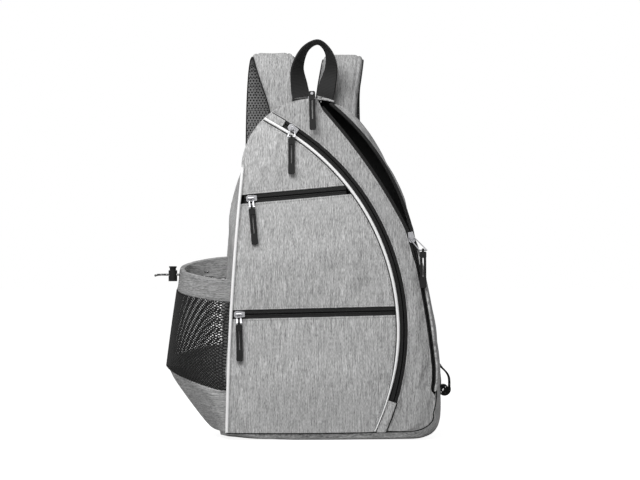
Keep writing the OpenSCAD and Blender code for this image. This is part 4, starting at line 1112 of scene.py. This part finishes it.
# The rows beside the pocket zips, by their ends along each zip, then those beside the curved zip, by
# their radius and the bearings of their ends
fold = EDGE + STITCH_IN
upper_over, upper_under = straight(UPPER, -66, 68), straight(UPPER, -72, 74)
lower_both = straight(LOWER, -111, 106)
stitch_lines = [beside(upper_over, fold), beside(upper_under, -fold), beside(lower_both, fold),
                beside(lower_both, -fold)]
for r, start, end in [(314.8, -23.9, 64.4), (LIP + STITCH_IN, -23.0, 63.0)]:
    stitch_lines.append([seam(r, a) for a in np.linspace(start, end, 160)])
stitch_lines.append(beside(strip_edge, 2.6))
# Three rows across each cap
cap_across = np.linspace(322.9, 332.3, 8)
for t in (0.1, 0.2, 0.62):
    stitch_lines.append([seam(r, cap_from) * (1 - t) + cap_end(r) * t for r in cap_across])
for a in (-17.7, -18.3, -22.9):
    stitch_lines.append([seam(r, a) for r in cap_across])
stitched("front_stitches", [[front(*q) for q in line] for line in stitch_lines], panels.values(), -FACE)

# Seam shade: black woven tubes laid in the seams as painted shade of their dark gaps; along the bottom the
# tube also stands for the black tape of the bound seam, of which only a thin line shows
seam_shade_tape = woven("black seam tape and painted seam shade", "#141414", "#303030", thread=0.9, roughness=0.8)
bottom_sag = 1.6
bottom = []
for t in np.linspace(0.004, 1, 50):
    bottom.append(BOTTOM_LEFT + (corner[2] - BOTTOM_LEFT) * t - [0, bottom_sag * math.sin(math.pi * t)])
bottom += list(pulled([bezier(corner, t) for t in np.linspace(0.96, 0.02, 30)]))
# Each line with how far out it lies, in millimetres, and its radius in metres
# Painted shade: dark tubes in the gaps beside the piping and the caps, and in the bottom seam
dark_lines = [(bottom, -0.7, 0.001), ([seam(317.4, a) for a in np.linspace(-10, 64.6, 120)], 0.25, 0.0006)]
for start, end, r in [(cap_from, 63.5, 0.0006), (-23.9, -17.1, 0.0009)]:
    dark_lines.append(([seam(LIP - 0.2, a) for a in np.linspace(start, end, 24)], 0.2, r))
tubes = [sweep("seam", seam_shade_tape, [front(*q, w) for q in line], [FACE] * len(line), round_section(r))
         for line, w, r in dark_lines]
piece("seam_lines", joined("seam_lines", tubes, seam_shade_tape), "bag", "dark_cloth")

# Folded edge of the right wall over the closed part of the racket zip, thinning out at its top
fold_half, fold_deep = 0.0015, 0.0013
fold_line = [q for q in beside(right_edge, 1.0) if q[1] < slit_foot]
fold_out = np.cross(np.gradient(np.array([front(*q) for q in fold_line]), axis=0), FACE)
fold_widths = [0.15 + 0.85 * fade(v, slit_foot, slit_foot - 20) for u, v in fold_line]
fold_section = [(fold_half * a, fold_deep * h)
                for a, h in ((-1, -1), (1, -1), (1, 0.6), (0.7, 1), (-0.7, 1), (-1, 0.6))]
racket_fold = sweep("racket_fold", side_cloth, [front(*q, -1.1) for q in fold_line], fold_out,
                    fold_section, fold_widths)
piece("racket_fold", racket_fold, "bag", "grey_cloth")


# Sliders, links and tabs of the five zips: die-cast sliders and links with a bright nickel
# plate, and pull tabs of black moulded rubber over two loops of cord.
# Nickel plate: neutral and bright, softened by the tumbled casting under it
nickel = plain_finish("nickel plated zinc", "#A6A6A9", metallic=1.0, low=0.16, high=0.32,
                      grain=1.5, depth=0.25)
# Moulded rubber: near black with a fine dull grain
rubber = plain_finish("black moulded rubber", "#141414", metallic=0.0, low=0.5, high=0.66,
                      grain=0.8, depth=0.3)
web_inner, web_outer, web_half = 0.0007, 0.0029, 0.0009
web_short_by = 0.012
web_ring = [(web_inner, -web_half), (web_outer, -web_half), (web_outer, web_half), (web_inner, web_half)]
for zip_name in ("upper", "lower", "front", "racket", "shoulder"):
    rounded(zip_name + "_slider", nickel, width=0.0003)
    rounded(zip_name + "_link", nickel, width=0.0002)
    rounded(zip_name + "_tab", rubber, width=0.0004)
    # A web on both cords leaves only a thin slot between them. It lies along the tab's own axes.
    shape = corners(nodes[zip_name + "_tab"].data)
    axes = np.linalg.svd(shape - shape.mean(0), full_matrices=False)[2]
    near, far = (shape @ axes.T).min(0), (shape @ axes.T).max(0)
    centre = (near + far) / 2
    half = (far[0] - near[0]) / 2 - web_short_by
    bm = bmesh.new()
    for side in (-1, 1):
        start, end = [[bm.verts.new((centre + [way * half, side * a, h]) @ axes) for a, h in web_ring]
                      for way in (-1, 1)]
        for i in range(4):
            j = (i + 1) % 4
            bm.faces.new((start[i], start[j], end[j], end[i]))
        bm.faces.new(start)
        bm.faces.new(end)
    bmesh.ops.recalc_face_normals(bm, faces=bm.faces)
    body = zip_name + ("_pull" if zip_name in ("upper", "lower") else "_tab")
    piece(zip_name + "_tab_web", to_mesh(bm, "tab_web", rubber, False), body, "black_moulding")


# Side pocket: a black net between a grey hem with the draw cord in it and a grey cloth base,
# all sewn to the left wall down both sides. It stands open in a wide bow.
FABRIC = 2.4
WALL_FLARE = 13
WALL_SWELL = 24
POCKET_FOOT = 9.4


def wall_front(z):
    # Where the left wall starts behind the front panels at this height
    return -FRONT_Y + z * math.sin(LEAN) + FABRIC * math.cos(LEAN)


def pocket(t, z):
    # t runs from the back edge to the front one, z is the height in millimetres. Both edges and the
    # bottom are tucked into the wall's seams.
    seam_in, tuck, off_wall = 4, 4.0, 0.4
    bow_foot, bow_full, hem_high = 9, 98, 232
    most_bow, less_at_hem = 73, 12
    back, fore = BACK_Y - seam_in, wall_front(z) + seam_in
    y = back + (fore - back) * (1 - math.cos(math.pi * t)) / 2
    s = (y - wall_front(z)) / (BACK_Y - wall_front(z))
    wall = left_edge(z) - WALL_FLARE * s - WALL_SWELL * s * (1 - s)
    if z < bow_full:
        bow = most_bow * ((z - bow_foot) / (bow_full - bow_foot)) ** 0.85
    else:
        bow = most_bow - less_at_hem * (z - bow_full) / (hem_high - bow_full)
    reach = max(0.0, math.sin(math.pi * t))
    tucked = tuck * max(0.0, 1 - 12 * reach, 1 - (z - POCKET_FOOT) / 3)
    return np.array([wall - off_wall + tucked - max(0.0, bow) * reach ** 0.7, y, z]) / 1000


def pocket_grid(low, high, rows, columns):
    return [[pocket(t, low(t) + (high(t) - low(t)) * s) for t in np.linspace(0, 1, columns + 1)]
            for s in np.linspace(0, 1, rows + 1)]


# Hem and net slope down from the back edge to the front one
HEM_HEIGHT = 31
HEM_BACK, HEM_FALL = 248, 31
NET_BACK, NET_FALL = 126, 60


def hem_top(t):
    return HEM_BACK - HEM_FALL * t


def hem_low(t):
    return hem_top(t) - HEM_HEIGHT


def net_low(t):
    return NET_BACK - NET_FALL * t


# The hem and the base are cut with the yarn lying level. Their cloth is painted darker than the front's, as
# painted shade on the pocket
level_grain = (16, 16, 0.6)
outside = Vector((-1, 0, 0))
shaded_level_cloth = heather("heather polyester level painted shade", level_grain, "#6A6A6A", "#BABABA")
hem_thick, hem_lip = 0.0066, 0.0016
bm = grid_of(pocket_grid(hem_low, hem_top, 8, 40), outside)
hem = settle(to_mesh(bm, "pocket_hem", shaded_level_cloth), slack=0.012, pressure=0.02, cap=lambda p: 0.0012)
hem = thick(finer(hem, 1), hem_thick, shaded_level_cloth, lip=hem_lip)
hem = piece("pocket_hem_cloth", hem, "bag", "grey_cloth", "pocket_hem")
# Painted shade: the base's cloth has a darker ramp than the front's
shaded_base_cloth = heather("heather polyester pocket base painted shade", level_grain, "#747474", "#CACACA")
base_thick = 0.0014
bm = grid_of(pocket_grid(lambda t: POCKET_FOOT, net_low, 18, 40), outside)
base = settle(to_mesh(bm, "pocket_base", shaded_base_cloth), slack=0.02, pressure=0.02, cap=lambda p: 0.004)
base = finer(base, 1)
pleat_y, pleat_z, pleat_depth = -0.02, 0.036, 0.006
for vert in base.vertices:
    # A pleat pinched in near the bottom, where the pocket is gathered to the wall
    near = math.exp(-((vert.co.y - pleat_y) / 0.005) ** 2 - ((vert.co.z - pleat_z) / 0.013) ** 2)
    vert.co.x += pleat_depth * near
base = piece("pocket_base_cloth", thick(base, base_thick, shaded_base_cloth), "bag", "grey_cloth", "pocket_base")
stitch_lines = [[pocket(t, edge(t) + off) for t in np.linspace(0.5, 0.99, 60)]
                for edge, off in [(hem_top, -5), (hem_low, 3.5), (net_low, -3.5)]]
stitched("pocket_stitches", stitch_lines, [hem, base], Vector((0.5, 0.86, 0)))

# Net: black nylon strands in a diamond knit, drawn with strands 2.4 mm apart
net_nylon = plain_finish("black nylon net", "#1C1C1C", metallic=0.0, low=0.4, high=0.55,
                         grain=1.0, depth=0.1)
net_columns, net_rows = 110, 54
strand_radius = 0.0007
knots = pocket_grid(net_low, hem_low, net_rows, net_columns)
cells = [(i * (net_columns + 1) + j, (i + j) % 2) for i in range(net_rows) for j in range(net_columns)]
pairs = [(k, k + net_columns + 2) for k, odd in cells if not odd]
pairs += [(k + 1, k + net_columns + 1) for k, odd in cells if odd]
strands = bpy.data.meshes.new("pocket_net")
strands.from_pydata([tuple(p) for row in knots for p in row], pairs, [])

# Turns the edges of a mesh into round strands
strand_tree, strand_keys, given = new_tree("strands of a net", [("Radius", "Float"), ("Finish", "Material")])
line = add(strand_tree, "GeometryNodeMeshToCurve", {"Mesh": given["Geometry"]})
ring = add(strand_tree, "GeometryNodeCurvePrimitiveCircle", {"Resolution": 4, "Radius": given["Radius"]})
tube = add(strand_tree, "GeometryNodeCurveToMesh", {
    "Curve": line.outputs[0], "Profile Curve": ring.outputs[0]})
real = add(strand_tree, "GeometryNodeRealizeInstances", {"Geometry": tube.outputs[0]})
dressed = add(strand_tree, "GeometryNodeSetMaterial", {
    "Geometry": real.outputs[0], "Material": given["Finish"]})
add(strand_tree, "NodeGroupOutput", {0: dressed.outputs[0]})
net = grown(strands, strand_tree, strand_keys, Radius=strand_radius, Finish=net_nylon)
net.shade_smooth()
piece("pocket_net_strands", net, "bag", "black_net", "pocket_net")


# Cord lock: a moulded barrel and button of black rubber with a steel spring between them. It is
# threaded on both ends of the draw cord and grips them until the button is pressed.
# Spring steel: zinc plated wire, pale and a little dull
spring_steel = plain_finish("zinc plated spring steel", "#B9BABC", metallic=1.0, low=0.25, high=0.35,
                            grain=0.8, depth=0.1)
rounded("cord_lock_body", rubber, width=0.0014, segments=3)
rounded("cord_lock_button", rubber, width=0.001, segments=3)
# The coil between the barrel's floor and the button: the spring's mesh with its points merged
coil = to_mesh(merged("cord_lock_spring"), "cord_lock_coil", spring_steel)
coil = piece("cord_lock_coil", coil, None, "silver_metal", "cord_lock_spring")
low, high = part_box("cord_lock_spring")
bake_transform(coil)


# Carry handle: one length of black nylon webbing, 25 mm wide, sewn flat into the top seam at
# both ends and turned on edge where the hand takes it.
# Nylon webbing: dense ribs across and along the band, 1.3 and 2 mm apart, with a satin shine
webbing, tree = new_finish("black nylon webbing")
chart = add(tree, "ShaderNodeTexCoord").outputs["UV"]
level = add(tree, "ShaderNodeMapping", {"Vector": chart, "Scale": (1000 / 1.3,) * 3})
level_rib = add(tree, "ShaderNodeTexWave", {"Vector": level.outputs[0], "Scale": 0.314, "Distortion": 0.4})
upright = add(tree, "ShaderNodeMapping", {
    "Vector": chart, "Scale": (1000 / 2.0,) * 3, "Rotation": (0, 0, 1.5708)})
upright_rib = add(tree, "ShaderNodeTexWave", {"Vector": upright.outputs[0], "Scale": 0.314})
weave = add(tree, "ShaderNodeMath", {
    0: level_rib.outputs["Fac"], 1: upright_rib.outputs["Fac"]}, operation="MULTIPLY")
tint = add(tree, "ShaderNodeValToRGB", {"Fac": weave.outputs[0]})
tint.color_ramp.elements[0].color = linear("#131313")
tint.color_ramp.elements[1].color = linear("#323232")
bump = add(tree, "ShaderNodeBump", {"Height": weave.outputs[0], "Strength": 0.45, "Distance": 0.0004})
surface = add(tree, "ShaderNodeBsdfPrincipled", {
    "Base Color": tint.outputs[0], "Roughness": 0.55, "Specular IOR Level": 0.2, "Normal": bump.outputs[0]})
add(tree, "ShaderNodeOutputMaterial", {"Surface": surface.outputs[0]})


def flat_section(width, depth):
    # A flat band with rounded edges
    a, h = width / 2000, depth / 2000
    turn = [math.radians(d) for d in (-60, 0, 60)]
    right = [(a - h + h * math.cos(d), -h * math.sin(d)) for d in turn]
    left = [(-a + h - h * math.cos(d), h * math.sin(d)) for d in turn]
    return right + left


left_root, right_root = -17.5, 15
grip_points = [(left_root, 0, 0), (-20.5, 0, 18), (-22.5, 0, 42), (-12, 0, 67), (6, 0, 77), (20, 0, 64),
               (24.5, 0, 42), (19.5, 0, 18), (right_root, 0, 0)]
most_twist = 82
handle_band = flat_section(25, 3.2)
handle_seam = np.array([-0.0265, 0.038, 0.47025])
grip = curve_of(grip_points, 10)
run = unit(np.gradient(grip, axis=0))
twist = np.radians(most_twist * np.sin(np.pi * np.arange(len(grip)) / (len(grip) - 1)) ** 1.5)[:, None]
across = np.cos(twist) * np.stack([run[:, 2], 0 * run[:, 0], -run[:, 0]], 1) + np.sin(twist) * [[0, 1, 0]]
handle = sweep("carry_handle", webbing, grip / 1000 + handle_seam, across, handle_band)
piece("carry_handle_webbing", handle, "carry_handle", "black_webbing", "carry_handle")
# The sewn roots stay on the bag, and the handle turns above them
root_low, root_top = -0.009, -0.0019
roots = []
for x in (left_root, right_root):
    root_line = [handle_seam + [x / 1000, 0, z] for z in np.linspace(root_low, root_top, 4)]
    roots.append(sweep("root", webbing, root_line, [(1, 0, 0)] * len(root_line), handle_band))
piece("handle_roots", joined("handle_roots", roots, webbing), "bag", "black_webbing")


# Shoulder straps: contoured foam pads with grey heather outside and black air mesh inside,
# sewn to the top of the back board. A black binding runs down both edges of each.
STRAP_TOP = np.array((-26, 58.3, 446.05))
STRAP_RUNS = {
    "left": [(-31, 0, 0), (-38, 5, 28), (-50, 13, 62), (-59, 32, 82), (-65, 52, 67), (-69, 58, 22),
             (-71, 52, -46), (-71, 41, -126), (-70, 30, -206), (-68, 23, -260)],
    "right": [(31, 0, 0), (33, 5, 28), (38, 13, 61), (41, 32, 80), (39, 52, 65), (37, 58, 22),
              (41, 52, -46), (54, 41, -126), (71, 30, -206), (82, 23, -260)]}
strap_width, strap_taper, strap_thick = 58, 14, 8.0
end_steps, end_taper = 3, 5


def strap_path(side, n):
    return curve_of([STRAP_TOP + p for p in STRAP_RUNS[side]], n)


# The pad's section as shares of its width: a crown with a stitched groove near each edge
groove_at, groove_depth = 0.13, 1.6
pad_section = []
for s in np.linspace(-0.5, 0.5, 25):
    edge = 0.5 - abs(s)
    height = strap_thick * (1 - (2 * abs(s)) ** 6) ** 0.5 if edge > 0 else 0.0
    height -= groove_depth * math.exp(-((edge - groove_at) / 0.028) ** 2)
    pad_section.append((-s, max(0.4, height) / 1000))
pad_section += [(s, 0.0) for s in (-0.5, -0.25, 0.0, 0.25, 0.5)]
net_half = [(-0.5, -0.0003), (-0.49, -0.0014), (-0.47, -0.0024), (-0.3, -0.0026)]
net_section = net_half + [(0.0, -0.0026)] + [(-s, h) for s, h in reversed(net_half)]
# The yarn runs along the straps. Their cloth is painted darker than the front's, as painted shade, since the
# straps stand further back
shaded_strap_cloth = heather("heather polyester strap painted shade", (0.6, 16, 16), "#747474", "#CACACA")
binding_round = round_section(0.0013)
stitch_share, stitch_height = 0.37, 0.0057
stitch_span = slice(3, -14)
for side in ("left", "right"):
    body = "strap_" + side
    path = strap_path(side, 12) / 1000
    t = np.linspace(0, 1, len(path))
    last_steps = (t - 1) * (len(STRAP_RUNS[side]) - 1) * 4 + end_steps
    widths = (strap_width - strap_taper * t ** 2 - end_taper * np.maximum(0, last_steps)) / 1000
    across = np.array([(1.0, 0, 0)] * len(path))
    pad = sweep("strap_pad", shaded_strap_cloth, path, across, pad_section, widths)
    piece(body + "_foam", pad, body, "grey_cloth", body + "_pad")
    net = sweep("strap_net", air_mesh, path, across, net_section, widths)
    piece(body + "_net", net, body, "black_net", body + "_lining")
    wide, out = band_axes(path, across)
    edges, rows = [], []
    for sign in (-1, 1):
        edge_line = path + wide * (sign * widths / 2)[:, None]
        edges.append(sweep("edge", binding_cloth, edge_line, wide, binding_round))
        stitch_line = path + wide * (sign * stitch_share * widths)[:, None] + out * stitch_height
        rows.append(stitch_row(stitch_line[stitch_span], out[stitch_span]))
    piece(body + "_binding", joined(body + "_binding", edges, binding_cloth), body, "black_webbing")
    piece(body + "_stitches", joined(body + "_stitches", rows, thread), body, "grey_cloth")


# Lower strap ends: moulded ladder locks, and black webbing from the sewn corner tabs up to
# them. The free ends hang down, the right one rolled up at the bag's corner.
anchor_thick = 0.0022
for side in ("left", "right"):
    rounded("ladder_lock_" + side, rubber, width=0.0007)
    node = "anchor_" + side
    bm = outer_sheet(node, lambda p: Vector((0, 1, 0)))
    flat_area = area_of(bm)
    bmesh.ops.subdivide_edges(bm, edges=bm.edges, cuts=5, use_grid_fill=True)
    tab = settle(to_mesh(bm, node, binding_cloth), slack=0.006, pressure=0.0, cap=lambda p: 0.0005)
    tab = piece(node + "_cloth", thick(tab, anchor_thick, binding_cloth), "bag", "black_webbing", node)


def in_lock(side, along, out):
    # A place in a strap's ladder lock: so far on from the strap's end and out of it
    path = strap_path(side, 4)
    run = unit(path[-1] - path[-2])
    wide = unit(np.array((1.0, 0, 0)) - run[0] * run)
    return micron(path[-1] + along * run + out * np.cross(wide, run))


band = flat_section(20, 2.0)
for side, anchor in [("left", np.array((-128, 53.2, 62))), ("right", np.array((120, 53.2, 66)))]:
    top = in_lock(side, 20, -1.8)
    way = unit((anchor - top) * [1, 0, 1])
    low = anchor + [0, 1.6, 0] - 4 * way
    points = micron([top, top + (low - top) * 0.25 - [0, 1, 0], top + (low - top) * 0.6, low,
                     anchor + 4 * way, anchor + 14 * way])
    path = curve_of(points, 10) / 1000
    t = np.linspace(0, 1, len(path))[:, None]
    across = (1 - t) * [[1, 0, 0]] + t * [[-way[2], 0, way[0]]]
    made = piece("webbing_" + side + "_band", sweep("webbing", webbing, path, across, band), None,
                 "black_webbing", "webbing_" + side)
    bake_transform(made)

start = in_lock("left", 18, 5.4)
path = curve_of([start, start + [-1, 3, -20], start + [-3, 3, -60], start + [-4, -2, -96]], 12) / 1000
tail = sweep("tail", webbing, path, [(1, 0, 0)] * len(path), band)
piece("tail_left_band", tail, "strap_left", "black_webbing", "tail_left")

# The rolled tail: its coil winds inward by one thickness of webbing and a little air each turn
start = in_lock("right", 18, 5.4)
roll_x, roll_y, roll_z = 156.5, 60, 61
roll_radius, roll_step, roll_from, roll_turned = 8.4, 3.1, 24, 840
roll = []
for a in np.linspace(0, roll_turned, 84):
    x, z = spot((roll_x, roll_z), roll_radius - roll_step * a / 360, roll_from - a)
    roll.append((x, roll_y, z))
lead = curve_of([start, start + [12, 2, -24], start + [46, -6, -58], (140, 66, 101), (154, roll_y, 91),
                 (163, roll_y, 79.5), roll[0]], 8)
path = np.vstack([lead[:-1], roll]) / 1000
turn_from, turn_steps = 4.8, 27.2
turn = np.clip((np.arange(len(path)) - turn_from) / turn_steps, 0, 1)[:, None]
across = (1 - turn) * [[1, 0, 0]] + turn * [[0, 1, 0]]
tail = sweep("tail", webbing, path, across, flat_section(20, 3.0))
tail = piece("tail_right_band", tail, None, "black_webbing", "tail_right")
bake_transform(tail)
